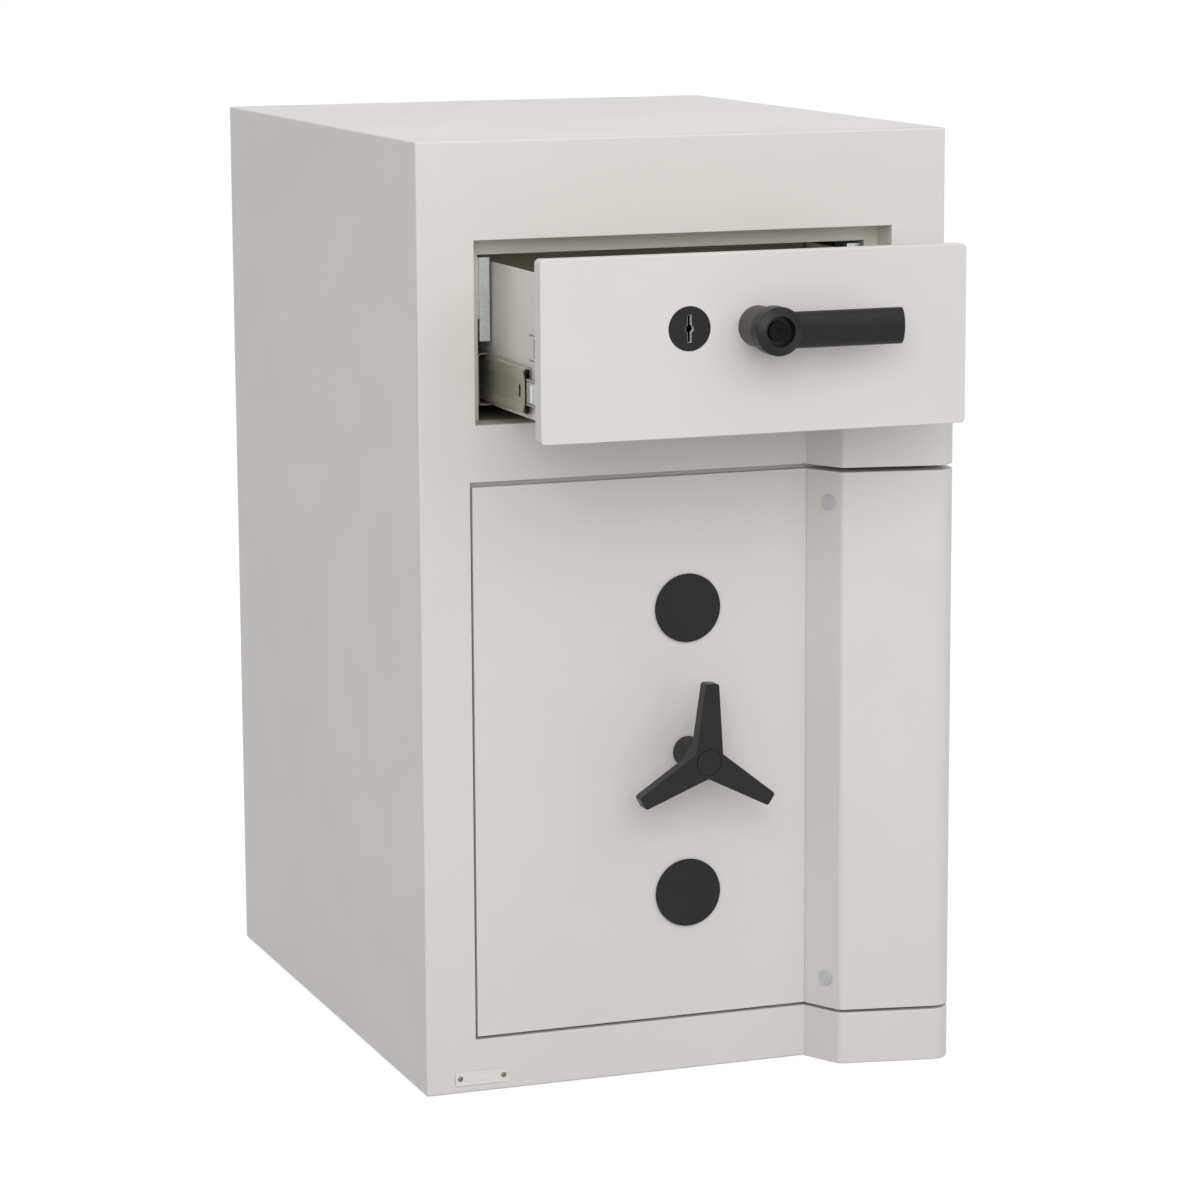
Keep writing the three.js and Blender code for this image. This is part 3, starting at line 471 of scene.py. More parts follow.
def facing(origin: Vector, direction: Vector) -> Matrix:
    """Make a local space whose z runs along a direction, with its y as near to upright as can be.

    Args:
        origin: Where the local space starts.
        direction: Where its z points.

    Returns:
        The matrix from that space to the part's.
    """
    turn = direction.normalized().to_track_quat("Z", "Y").to_matrix().to_4x4()
    return Matrix.Translation(origin) @ turn


def outline(width: float, height: float, radius: float, z: float) -> Loop:
    """Draw a rectangle with round corners, about the middle of the local space.

    Args:
        width: Size along x.
        height: Size along y.
        radius: Radius of the corners.
        z: Where it lies along z.

    Returns:
        Its points in order.
    """
    corners = [(1, 1), (-1, 1), (-1, -1), (1, -1)]
    points = []
    for quarter, (right, up) in enumerate(corners):
        for step in range(CORNER_STEPS + 1):
            angle = (quarter + step / CORNER_STEPS) * math.pi / 2
            x = right * (width / 2 - radius) + radius * math.cos(angle)
            y = up * (height / 2 - radius) + radius * math.sin(angle)
            points.append(Vector((x, y, z)))
    return points


def nested(width: float, height: float, profile: Sequence[Point3]) -> list[Loop]:
    """Draw rectangles with round corners, each drawn in from the widest.

    Args:
        width: Size of the widest along x.
        height: Size of the widest along y.
        profile: For each, how far its sides are drawn in, its corner radius and where it lies along z.

    Returns:
        The loops in order.
    """
    return [outline(width - 2 * inset, height - 2 * inset, corner, z) for inset, corner, z in profile]


def ring(radius: float, z: float, steps: int) -> Loop:
    """Draw a circle about the middle of the local space.

    Args:
        radius: Its radius.
        z: Where it lies along z.
        steps: Points round it.

    Returns:
        Its points in order.
    """
    turns = (2 * math.pi * step / steps for step in range(steps))
    return [Vector((radius * math.cos(a), radius * math.sin(a), z)) for a in turns]


def hexagon(radius: float, z: float, steps: int) -> Loop:
    """Draw a six-sided outline that has as many points as a circle of the same steps.

    Args:
        radius: From the middle to a corner.
        z: Where it lies along z.
        steps: Points round it, a multiple of 6.

    Returns:
        Its points in order.
    """
    points = []
    for step in range(steps):
        angle = 2 * math.pi * step / steps
        flat = math.cos(math.pi / 6) / math.cos((angle % (math.pi / 3)) - math.pi / 6)
        points.append(Vector((radius * flat * math.cos(angle), radius * flat * math.sin(angle), z)))
    return points


def midpoint(edge: Edge) -> Vector:
    """Give the middle of an edge."""
    return (edge.verts[0].co + edge.verts[1].co) / 2


def upright(edge: Edge) -> bool:
    """Tell whether an edge runs along z."""
    run = edge.verts[1].co - edge.verts[0].co
    return abs(run.z) > UPRIGHT * run.length


def on_plane(edge: Edge, axis: int, value: float) -> bool:
    """Tell whether an edge lies on the plane at a value of x, y or z, with 0, 1 or 2 as the axis."""
    return all(abs(vert.co[axis] - value) < ON_PLANE for vert in edge.verts)


def off_plane(edge: Edge, y: float) -> bool:
    """Tell whether both ends of an edge keep off the plane at y."""
    return all(abs(vert.co.y - y) > ON_PLANE for vert in edge.verts)


class Sketch:
    """A mesh in the making, in metres."""

    def __init__(self) -> None:
        """Start with nothing."""
        self.mesh = bmesh.new()

    @classmethod
    def of_node(cls, node: str) -> "Sketch":
        """Copy a node's solid, with its flat faces made whole.

        Args:
            node: The node's name.

        Returns:
            The sketch of it.
        """
        made = cls()
        mesh = made.mesh
        mesh.from_mesh(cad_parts[node].data)
        bmesh.ops.remove_doubles(mesh, verts=mesh.verts, dist=SAME_POINT)
        bmesh.ops.dissolve_limit(mesh, angle_limit=FLAT, verts=mesh.verts, edges=mesh.edges)
        return made

    def rows(self, loops: Sequence[Loop], place: Matrix) -> list[Row]:
        """Put the points of loops into the mesh.

        Args:
            loops: Loops of equally many points.
            place: From the loops' space to the part's.

        Returns:
            A row of points for each loop.
        """
        return [[self.mesh.verts.new(place @ point) for point in loop] for loop in loops]

    def skin(self, rows: Sequence[Row]) -> None:
        """Span faces from each row to the next.

        Args:
            rows: Rows of equally many points.
        """
        for row, following in zip(rows, rows[1:]):
            for step in range(len(row)):
                after = (step + 1) % len(row)
                self.mesh.faces.new((row[step], row[after], following[after], following[step]))

    def loft(self, loops: Sequence[Loop], place: Matrix = Matrix.Identity(4)) -> "Sketch":
        """Span a skin from loop to loop, and close the first and the last with a face.

        Args:
            loops: Loops of equally many points.
            place: From the loops' space to the part's.

        Returns:
            This sketch.
        """
        rows = self.rows(loops, place)
        self.skin(rows)
        self.mesh.faces.new(list(reversed(rows[0])))
        self.mesh.faces.new(rows[-1])
        return self

    def band(self, loops: Sequence[Loop], place: Matrix) -> "Sketch":
        """Span a skin from loop to loop and back to the first, which leaves a hole through the middle.

        Args:
            loops: Loops of equally many points.
            place: From the loops' space to the part's.

        Returns:
            This sketch.
        """
        rows = self.rows(loops, place)
        self.skin(rows + rows[:1])
        return self

    def shift(self, axis: int, value: float, target: float) -> "Sketch":
        """Move all that lies on one plane onto another, to close a seam.

        Args:
            axis: 0, 1 or 2 for x, y or z.
            value: Where the plane is.
            target: Where it goes.

        Returns:
            This sketch.
        """
        for vert in self.mesh.verts:
            if abs(vert.co[axis] - value) < ON_PLANE:
                vert.co[axis] = target
        return self

    def round(
        self, width: float, steps: int = 3, where: Callable[[Edge], bool] = lambda edge: True
    ) -> "Sketch":
        """Round the edges that are not flat.

        Args:
            width: Radius of the rounding.
            steps: Faces across it.
            where: Which of the edges to round.

        Returns:
            This sketch.
        """
        edges = [e for e in self.mesh.edges if e.is_manifold and e.calc_face_angle(0) > CREASE and where(e)]
        if edges:
            bmesh.ops.bevel(
                self.mesh,
                geom=edges,
                offset=width,
                segments=steps,
                profile=0.5,
                affect="EDGES",
                clamp_overlap=True,
            )
        return self

    def piece(self, name: str, finish: Finish, body: Body, *replaces: str) -> bpy.types.Object:
        """Turn the sketch into a piece of the object.

        Args:
            name: The piece's name.
            finish: What it is coated with.
            body: The body that it rides on.
            *replaces: Nodes that it stands for.

        Returns:
            The new object.
        """
        bmesh.ops.recalc_face_normals(self.mesh, faces=self.mesh.faces)
        data = bpy.data.meshes.new(name)
        self.mesh.to_mesh(data)
        self.mesh.free()
        data.shade_smooth()
        data.set_sharp_from_angle(angle=SHARP)
        data.materials.append(finish.material())
        made = bpy.data.objects.new(name, data)
        bpy.context.scene.collection.objects.link(made)
        normals = made.modifiers.new("even_shading", "WEIGHTED_NORMAL")
        normals.keep_sharp = True
        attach(made, body.value)
        if replaces:
            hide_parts(*replaces)
        LOG.info("piece %s", name)
        return made


@dataclass(frozen=True)
class Coat:
    """How nodes of the frame are dressed, where their shape is right.

    Attributes:
        finish: What they are coated with.
        edge: Radius of their edges.
        nodes: The nodes' names.
        steps: Faces across each edge.
    """

    finish: Finish
    edge: float
    nodes: tuple[str, ...]
    steps: int = 2

    def lay(self) -> None:
        """Coat the nodes and break their edges."""
        for node in self.nodes:
            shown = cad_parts[node]
            shown.data.materials.clear()
            shown.data.materials.append(self.finish.material())
            weld = shown.modifiers.new("weld", "WELD")
            weld.merge_threshold = SAME_POINT
            flat = shown.modifiers.new("flat_faces", "DECIMATE")
            flat.decimate_type = "DISSOLVE"
            flat.angle_limit = FLAT
            edges = shown.modifiers.new("broken_edges", "BEVEL")
            edges.width = self.edge
            edges.segments = self.steps
            edges.limit_method = "ANGLE"
            edges.angle_limit = CREASE
            edges.use_clamp_overlap = True
            shown.modifiers.new("even_shading", "WEIGHTED_NORMAL")
            LOG.info("node %s", node)


@dataclass
class Assembly:
    """A sub-assembly of the safe.

    Attributes:
        coats: How those of its nodes are dressed whose shape is right.
    """

    coats: tuple[Coat, ...] = ()

    def make(self) -> None:
        """Make the pieces that are modelled here."""

    def build(self) -> None:
        """Make the pieces and dress the nodes."""
        self.make()
        for coat in self.coats:
            coat.lay()


@dataclass(frozen=True)
class Screw:
    """A low round head with a hexagon socket.

    Attributes:
        radius: Radius of the head.
        rise: How far it stands proud.
        sunk: How far it goes into what it holds.
        crown: The head's outline, each point as a share of the radius and of the rise.
        socket: Corner radius of the socket.
        socket_foot: The socket's floor, as a share of its radius and of the rise.
        steps: Points round it.
    """

    radius: float = 4.0 * MM
    rise: float = 2.0 * MM
    sunk: float = 0.2 * MM
    crown: tuple[Point2, ...] = ((1.0, 0.45), (0.9, 0.8), (0.7, 1.0))
    socket: float = 2.0 * MM
    socket_foot: Point2 = (0.95, 0.2)
    steps: int = 24

    def heads(
        self, name: str, points: Sequence[Vector], direction: Vector, body: Body, finish: Finish
    ) -> bpy.types.Object:
        """Make a set of alike heads as one piece.

        Args:
            name: The piece's name.
            points: Where the heads sit.
            direction: Where they point.
            body: The body that they ride on.
            finish: What they are plated with.

        Returns:
            The piece.
        """
        narrow, low = self.socket_foot
        loops = [ring(self.radius, -self.sunk, self.steps)]
        loops += [ring(self.radius * wide, self.rise * high, self.steps) for wide, high in self.crown]
        loops.append(hexagon(self.socket, self.rise, self.steps))
        loops.append(hexagon(self.socket * narrow, self.rise * low, self.steps))
        sketch = Sketch()
        for point in points:
            sketch.loft(loops, facing(point, direction))
        return sketch.piece(name, finish, body)


@dataclass
class Casing(Assembly):
    """The painted body: shell, front plate, hinge column's fixed ends, recess and rating plate.

    Attributes:
        corner: Radius of the body's outer edges.
        lip: Radius of the edges of the openings.
        lining: Radius of the edges of the recess lining.
        fold: Radius of the column's upright folds.
        rim: Radius of the column's other edges.
        plate_corner: Corner radius of the rating plate.
        plate_border: Outline of its raised border, as the distance in from its side and the height.
        plate_sharp: Turn above which its edges look sharp.
        rivet: Radius of its rivets.
        rivet_inset: From the plate's end to a rivet.
        rivet_foot: Where the rivets' domes start, above the plate's back.
        rivet_dome: Height of a dome, as a share of its radius.
        rivet_turn: Angle from ring to ring of a dome.
        rivet_rings: Rings of a dome.
        rivet_steps: Points round each ring.
        front: Box of the front plate.
    """

    corner: float = 1.8 * MM
    lip: float = 0.7 * MM
    lining: float = 0.4 * MM
    fold: float = 3.0 * MM
    rim: float = 1.2 * MM
    plate_corner: float = 1.5 * MM
    plate_border: tuple[Point2, ...] = (
        (0.0, 0.0),
        (0.0, 0.64 * MM),
        (0.25 * MM, 0.8 * MM),
        (0.55 * MM, 0.8 * MM),
        (0.77 * MM, 0.56 * MM),
    )
    plate_sharp: float = math.radians(60)
    rivet: float = 2.8 * MM
    rivet_inset: float = 4.8 * MM
    rivet_foot: float = 0.4 * MM
    rivet_dome: float = 0.42
    rivet_turn: float = 0.35
    rivet_rings: int = 5
    rivet_steps: int = 24
    front: Span = field(default_factory=lambda: Span.of("front_frame"))
    coats: tuple[Coat, ...] = (
        Coat(PAINT, 1.0 * MM, ("door_jamb",)),
        Coat(INNER_PAINT, 0.5 * MM, ("vault_liner",)),
        # The drawer bay's liner is darkened as painted shade
        Coat(BAY_SHADE_PAINT, 0.5 * MM, ("drawer_liner",)),
        Coat(BARRIER_MIX, 0.5 * MM, ("barrier_fill",)),
        Coat(STEEL, 0.6 * MM, ("hinge_pin_top", "hinge_pin_bottom")),
    )

    def on_outside(self, edge: Edge) -> bool:
        """Tell whether an edge lies on the body's outer surface, away from the seam behind the front plate.

        Args:
            edge: The edge.

        Returns:
            Whether it does.
        """
        low, high = self.front.low, self.front.high
        if on_plane(edge, 1, high.y):
            return False
        ends = [vert.co for vert in edge.verts]
        on_side = all(abs(abs(end.x) - high.x) < ON_PLANE for end in ends)
        on_level = all(min(abs(end.z - low.z), abs(end.z - high.z)) < ON_PLANE for end in ends)
        return on_side or on_level

    def near_outside(self, edge: Edge) -> bool:
        """Tell whether an edge lies near the body's outer surface or on the seam.

        Args:
            edge: The edge.

        Returns:
            Whether it does.
        """
        low, high = self.front.low, self.front.high
        middle = midpoint(edge)
        reach = 2 * self.corner
        at_side = abs(middle.x) > high.x - reach
        at_level = middle.z < low.z + reach or middle.z > high.z - reach
        return at_side or at_level or middle.y > high.y - ON_PLANE

    def shell_and_front(self) -> None:
        """Make the shell and the front plate flush, as if filled and painted over."""
        front = Sketch.of_node("front_frame").round(self.corner, 4, self.on_outside)
        front.round(self.lip, 2, lambda edge: edge.calc_face_angle(0) > SHARP and not self.near_outside(edge))
        front.piece("front_plate", PAINT, Body.ROOT, "front_frame")
        shell = Sketch.of_node("outer_shell").shift(1, Span.of("outer_shell").low.y, self.front.high.y)
        shell.round(self.corner, 4, self.on_outside)
        shell.piece("casing", PAINT, Body.ROOT, "outer_shell")

    def column_ends(self) -> None:
        """Make the fixed head and foot of the hinge column, welded to the front plate."""
        front = self.front.low.y
        for node in ("column_head", "column_foot"):
            sketch = Sketch.of_node(node).shift(1, Span.of(node).high.y, front)
            sketch.round(self.fold, 4, lambda edge: upright(edge) and off_plane(edge, front))
            sketch.round(self.rim, 3, lambda edge: not upright(edge) and off_plane(edge, front))
            sketch.piece(node + "_shell", PAINT, Body.ROOT, node)

    def recess(self) -> None:
        """Make the lining of the drawer's opening, which meets the front plate."""
        seam = self.front.high.y
        recess = Sketch.of_node("recess_frame").shift(1, Span.of("recess_frame").low.y, seam)
        recess.round(self.lining, 2, lambda edge: off_plane(edge, seam))
        recess.piece("recess_lining", RECESS_PAINT, Body.ROOT, "recess_frame")

    def rating_plate(self) -> None:
        """Make the small blank plate with a raised border and two domed rivets."""
        span = Span.of("rating_plate")
        width, height = span.size.x, span.size.z
        place = facing(Vector((span.centre.x, span.high.y, span.centre.z)), Vector((0, -1, 0)))
        border = [(inset, self.plate_corner - inset, rise) for inset, rise in self.plate_border]
        sketch = Sketch().loft(nested(width, height, border), place)
        plate = sketch.piece("blank_rating_plate", PLATE, Body.ROOT, "rating_plate")
        plate.data.set_sharp_from_angle(angle=self.plate_sharp)
        turns = [self.rivet_turn * step for step in range(self.rivet_rings)]
        tall = self.rivet * self.rivet_dome
        rounds = [(self.rivet * math.cos(a), self.rivet_foot + tall * math.sin(a)) for a in turns]
        dome = [ring(radius, z, self.rivet_steps) for radius, z in rounds]
        rivets = Sketch()
        for side in Side:
            x = side.value * (width / 2 - self.rivet_inset)
            rivets.loft(dome, place @ Matrix.Translation((x, 0, 0)))
        rivets.piece("rating_plate_rivets", RIVET, Body.ROOT)

    def make(self) -> None:
        """Make all of the painted body."""
        self.shell_and_front()
        self.column_ends()
        self.recess()
        self.rating_plate()


@dataclass
class RolledSection:
    """A strip of sheet rolled to a section, as a slide member is.

    Attributes:
        sheet: Thickness.
        path: Middle line of the sheet, as points across and up.
    """

    sheet: float
    path: list[Point2]

    def closed(self) -> list[Point2]:
        """Give the closed outline of the section.

        Returns:
            The points of both sides of the sheet, in order.
        """
        left, right = [], []
        count = len(self.path)
        for index, (x, z) in enumerate(self.path):
            before = self.path[max(index - 1, 0)]
            after = self.path[min(index + 1, count - 1)]
            run = Vector((after[0] - before[0], after[1] - before[1])).normalized()
            offset = Vector((-run.y, run.x)) * self.sheet / 2
            left.append((x + offset.x, z + offset.y))
            right.append((x - offset.x, z - offset.y))
        return left + right[::-1]

    def drawn(self, y0: float, y1: float) -> Sketch:
        """Draw the section out along y.

        Args:
            y0: Where it starts.
            y1: Where it ends.

        Returns:
            The sketch of it.
        """
        loops = [[Vector((x, y, z)) for x, z in self.closed()] for y in (y0, y1)]
        return Sketch().loft(loops)


@dataclass(frozen=True)
class Member:
    """One rolled member of a slide.

    Attributes:
        node: Its node's name without the side.
        sheet: Thickness of its sheet.
        finish: What it is plated with.
        web_outside: Whether its web lies on the side away from the drawer.
        embossed: Whether the web's middle stands in, which leaves two raceways.
    """

    node: str
    sheet: float
    finish: Finish
    web_outside: bool = True
    embossed: bool = False


@dataclass
class Slides(Assembly):
    """Ball-bearing slides of the drawer, with their raceways, cages, balls and stops.

    Attributes:
        outer: The member on the cabinet.
        middle: The member between.
        inner: The member on the drawer.
        bend: Radius where web and flange meet.
        bend_steps: Steps in that bend.
        relief: Steps of the web, each as its distance from the middle and how far it stands in.
        relief_slope: How far each step reaches past that distance and short of it.
        ball: Radius of a ball.
        balls: Balls in a row.
        ball_gap: Between a ball and the inner member.
        ball_inset: From the cage's middle to the balls, towards the drawer.
        first_ball: From the cage's front to the first ball, as a share of their spacing.
        tab: Width and height of the small pressed tab, at its foot and at its top.
        tab_corner: Its corner radius there.
        tab_rise: How far it stands proud.
        tab_back: From the middle member's front end to the tab.
        strip: Length of the strip between the middle member and the stop.
        stop: Length of the stop plate.
        end_sunk: From the inner member's outer face to where strip and stop are measured from.
        end_gap: Least gap before the strip.
        end_room: How much lower than the inner member strip and stop are.
        end_corner: Their corner radius.
        end_foot: How far they reach back.
        end_rise: How far they stand proud.
        stop_profile: The stop's raised border and sunk middle, as for nested, above its foot.
    """

    # The outer member's darker steel is painted shade
    outer: Member = Member("slide_outer_", 1.5 * MM, OUTER_SLIDE_SHADE)
    middle: Member = Member("slide_middle_", 1.4 * MM, SLIDE_STEEL, embossed=True)
    inner: Member = Member("slide_inner_", 1.6 * MM, SLIDE_STEEL, web_outside=False)
    bend: float = 3.0 * MM
    bend_steps: int = 4
    relief: tuple[Point2, ...] = ((18.5 * MM, 0.6 * MM), (9.6 * MM, 0.8 * MM))
    relief_slope: Point2 = (0.25 * MM, 0.15 * MM)
    ball: float = 1.9 * MM
    balls: int = 7
    ball_gap: float = 0.2 * MM
    ball_inset: float = 0.1 * MM
    first_ball: float = 0.7
    tab: tuple[Point2, Point2] = ((2.2 * MM, 11.5 * MM), (1.8 * MM, 11.0 * MM))
    tab_corner: Point2 = (0.9 * MM, 0.8 * MM)
    tab_rise: float = 0.8 * MM
    tab_back: float = 12.5 * MM
    strip: float = 8.5 * MM
    stop: float = 15.0 * MM
    end_sunk: float = 1.1 * MM
    end_gap: float = 0.3 * MM
    end_room: float = 4.4 * MM
    end_corner: float = 0.8 * MM
    end_foot: float = 2.0 * MM
    end_rise: float = 0.8 * MM
    stop_profile: tuple[Point3, ...] = (
        (0.0, 0.8 * MM, 0.5 * MM),
        (0.3 * MM, 0.6 * MM, 0.8 * MM),
        (2.2 * MM, 0.5 * MM, 0.8 * MM),
        (2.64 * MM, 0.4 * MM, -0.6 * MM),
    )
    coats: tuple[Coat, ...] = (Coat(BLACK_PLASTIC, 0.3 * MM, ("ball_cage_left", "ball_cage_right")),)

    def section(self, member: Member, span: Span, side: Side) -> RolledSection:
        """Lay out a channel with round bends, the upper half first and then its mirror image.

        Args:
            member: The member.
            span: Its box.
            side: The side of the drawer that it is on.

        Returns:
            The section.
        """
        web, mouth = span.outer(side), span.inner(side)
        if not member.web_outside:
            web, mouth = mouth, web
        inward = math.copysign(1.0, mouth - web)
        web += inward * member.sheet / 2
        top = (span.size.z - member.sheet) / 2
        upper: list[Point2] = [(mouth, top)]
        for step in range(self.bend_steps + 1):
            turn = step / self.bend_steps * math.pi / 2
            across = inward * self.bend * (1 - math.sin(turn))
            upper.append((web + across, top - self.bend * (1 - math.cos(turn))))
        if member.embossed:
            before, past = self.relief_slope
            sunk = 0.0
            for off, depth in self.relief:
                upper.append((web + inward * sunk, off + before))
                sunk += depth
                upper.append((web + inward * sunk, off - past))
        level = span.centre.z
        path = [(x, level + off) for x, off in upper] + [(x, level - off) for x, off in reversed(upper)]
        return RolledSection(member.sheet, path)

    def roll(self, member: Member, side: Side, body: Body) -> None:
        """Make one rolled member in its node's place.

        Args:
            member: The member.
            side: The side of the drawer that it is on.
            body: The body that it rides on.
        """
        node = member.node + side.word
        span = Span.of(node)
        sketch = self.section(member, span, side).drawn(span.low.y, span.high.y)
        sketch.piece(node + "_rolled", member.finish, body, node)

    def rows_of_balls(self, side: Side) -> None:
        """Make the two rows of balls in a cage.

        Args:
            side: The side of the drawer that they are on.
        """
        span = Span.of("ball_cage_" + side.word)
        inner = Span.of("slide_inner_" + side.word)
        sketch = Sketch()
        for row in (1, -1):
            z = inner.centre.z + row * (inner.size.z / 2 + self.ball + self.ball_gap)
            for index in range(self.balls):
                y = span.low.y + (index + self.first_ball) / self.balls * span.size.y
                point = Matrix.Translation((span.centre.x - side.value * self.ball_inset, y, z))
                bmesh.ops.create_icosphere(sketch.mesh, subdivisions=2, radius=self.ball, matrix=point)
        sketch.piece("balls_" + side.word, BALL_STEEL, side.slide_body)

    def pressed_tab(self, side: Side) -> None:
        """Make the small pressed tab in the middle member's web, near its front end.

        Args:
            side: The side of the drawer that it is on.
        """
        span = Span.of("slide_middle_" + side.word)
        x = span.outer(side) - side.value * sum(depth for _, depth in self.relief)
        place = facing(Vector((x, span.low.y + self.tab_back, span.centre.z)), side.outward)
        ends = zip(self.tab, self.tab_corner, (0.0, self.tab_rise))
        loops = [outline(width, height, corner, z) for (width, height), corner, z in ends]
        Sketch().loft(loops, place).piece("slide_tab_" + side.word, BLACK_PLASTIC, side.slide_body)

    def front_end(self, side: Side) -> None:
        """Make the raised strip in the inner member and the bright stop before it.

        Args:
            side: The side of the drawer that it is on.
        """
        span = Span.of("slide_inner_" + side.word)
        tall = span.size.z - self.end_room
        x = span.outer(side) - side.value * self.end_sunk
        front = Span.of("slide_middle_" + side.word).low.y - self.end_gap
        foot = (0.0, self.end_corner, -self.end_foot)
        ends = (
            ("slide_strip_", SLIDE_STEEL, self.strip, front, ((0.0, self.end_corner, self.end_rise),)),
            ("slide_stop_", ZINC, self.stop, front - self.strip - 2 * self.end_gap, self.stop_profile),
        )
        for name, finish, long, start, profile in ends:
            place = facing(Vector((x, start - long / 2, span.centre.z)), side.outward)
            sketch = Sketch().loft(nested(long, tall, (foot, *profile)), place)
            sketch.piece(name + side.word, finish, Body.DRAWER)

    def make(self) -> None:
        """Make both slides."""
        for side in Side:
            self.roll(self.outer, side, Body.ROOT)
            self.roll(self.middle, side, side.slide_body)
            self.roll(self.inner, side, Body.DRAWER)
            self.rows_of_balls(side)
            self.pressed_tab(side)
            self.front_end(side)


@dataclass
class DrawerBay(Assembly):
    """What is in the drawer's compartment: keeper bars, and the flap with its rod and stop."""

    coats: tuple[Coat, ...] = (
        Coat(ZINC, 0.9 * MM, ("keeper_bar_left", "keeper_bar_right"), 3),
        Coat(STEEL, 0.5 * MM, ("flap_rod",)),
        # The flap and its stop bar share the bay's darker colour, which is painted shade
        Coat(BAY_SHADE_PAINT, 0.5 * MM, ("flap_stop_bar",)),
        Coat(BAY_SHADE_PAINT, 0.8 * MM, ("anti_fishing_flap",)),
    )


@dataclass
class Drawer(Assembly):
    """The drawer: front panel, box, cover of its bolts, guides, escutcheon and lock.

    Attributes:
        edge: Radius of the panel's edges.
        hole_edge: Radius of the edges of its holes.
        margin: Width of the panel's border, in which no hole lies.
        disc_edge: Radius of the escutcheon's edges.
        keyhole: Half width, half height and hole radius of the keyhole.
        liner: Thickness of the metal in the keyhole, how deep it starts and where the painted shade behind it
            begins.
        liner_gap: Between the escutcheon and that metal.
        dark_end: How deep the painted shade goes.
        guide_corner: Corner radius of the bolt guides and of their slots.
        guide_rims: From the guide's front, rear and level edges to its slot.
        guide_step: Width and height share of the guide's lower border, and the slope's share of that width.
        panel: Box of the front panel.
    """

    edge: float = 2.6 * MM
    hole_edge: float = 0.3 * MM
    margin: float = 10.0 * MM
    disc_edge: float = 0.5 * MM
    keyhole: Point3 = (2.0 * MM, 12.5 * MM, 4.0 * MM)
    liner: Point3 = (0.12 * MM, 0.6 * MM, 4.6 * MM)
    liner_gap: float = 0.05 * MM
    dark_end: float = 15.0 * MM
    guide_corner: Point2 = (3.0 * MM, 1.0 * MM)
    guide_rims: Point3 = (8.0 * MM, 16.0 * MM, 2.8 * MM)
    guide_step: Point3 = (1.1 * MM, 0.4, 0.25)
    panel: Span = field(default_factory=lambda: Span.of("drawer_front"))
    coats: tuple[Coat, ...] = (
        Coat(DRAWER_PAINT, 0.9 * MM, ("drawer_box",), 3),
        Coat(DRAWER_PAINT, 0.7 * MM, ("mech_cover",)),
        Coat(STEEL, 1.0 * MM, ("drawer_lock_case",)),
        Coat(BRASS, 0.5 * MM, ("drawer_lock_bolt",)),
        Coat(STEEL, 0.8 * MM, ("drawer_bolt_left", "drawer_bolt_right")),
    )

    def of_hole(self, edge: Edge) -> bool:
        """Tell whether an edge belongs to one of the panel's holes.

        Args:
            edge: The edge.

        Returns:
            Whether it does.
        """
        middle, low, high = midpoint(edge), self.panel.low, self.panel.high
        across = low.x + self.margin < middle.x < high.x - self.margin
        return across and low.z + self.margin < middle.z < high.z - self.margin

    def of_rim(self, edge: Edge) -> bool:
        """Tell whether an edge runs round the panel's front or back."""
        return on_plane(edge, 1, edge.verts[0].co.y) and not self.of_hole(edge)

    def at_mouth(self, edge: Edge) -> bool:
        """Tell whether an edge is the front edge of a hole."""
        return self.of_hole(edge) and on_plane(edge, 1, self.panel.low.y)

    def front_panel(self) -> None:
        """Make the front panel, with soft outer edges and crisp holes."""
        sketch = Sketch.of_node("drawer_front")
        sketch.round(self.edge, 5, self.of_rim).round(self.hole_edge, 2, self.at_mouth)
        sketch.piece("drawer_panel", PAINT, Body.DRAWER, "drawer_front")

    def keyhole_loop(self, inset: float) -> Loop:
        """Draw the keyhole's outline, drawn in by an inset.

        Args:
            inset: How far inside the keyhole it lies.

        Returns:
            Its points in order.
        """
        half, tall, radius = (size - inset for size in self.keyhole)
        reach = math.acos(half / radius)
        right, left = self.arc(-reach, reach), self.arc(math.pi - reach, math.pi + reach)
        points: list[Point2] = [(half, -tall)]
        points += [(radius * math.cos(a), radius * math.sin(a)) for a in right]
        points += [(half, tall), (-half, tall)]
        points += [(radius * math.cos(a), radius * math.sin(a)) for a in left]
        points.append((-half, -tall))
        return [Vector((x, y, 0)) for x, y in points]

    @staticmethod
    def arc(start: float, end: float, steps: int = 10) -> list[float]:
        """Divide a turn into steps."""
        return [start + (end - start) * step / steps for step in range(steps + 1)]

    def escutcheon(self) -> None:
        """Make the black disc round the keyhole, the bare metal inside it and, behind that, a near-black
        sleeve that is painted shade deep in the keyhole.
        """
        span = Span.of("lock_escutcheon")
        disc = Sketch.of_node("lock_escutcheon").round(self.disc_edge, 3)
        disc.piece("escutcheon_disc", BLACK, Body.DRAWER, "lock_escutcheon")
        thick, sunk, dark = self.liner
        outer = self.keyhole_loop(self.liner_gap)
        inner = self.keyhole_loop(self.liner_gap + thick)
        # The second band is painted shade: a near-black sleeve deep in the keyhole
        ends = (("keyhole_lining", NICKEL, sunk, dark), ("keyhole_depth", KEYHOLE_SHADE, dark, self.dark_end))
        for name, finish, start, end in ends:
            place = facing(Vector((span.centre.x, span.low.y + start, span.centre.z)), Vector((0, 1, 0)))
            back = Vector((0, 0, end - start))
            loops = [outer, [point + back for point in outer], [point + back for point in inner], inner]
            Sketch().band(loops, place).piece(name, finish, Body.DRAWER)

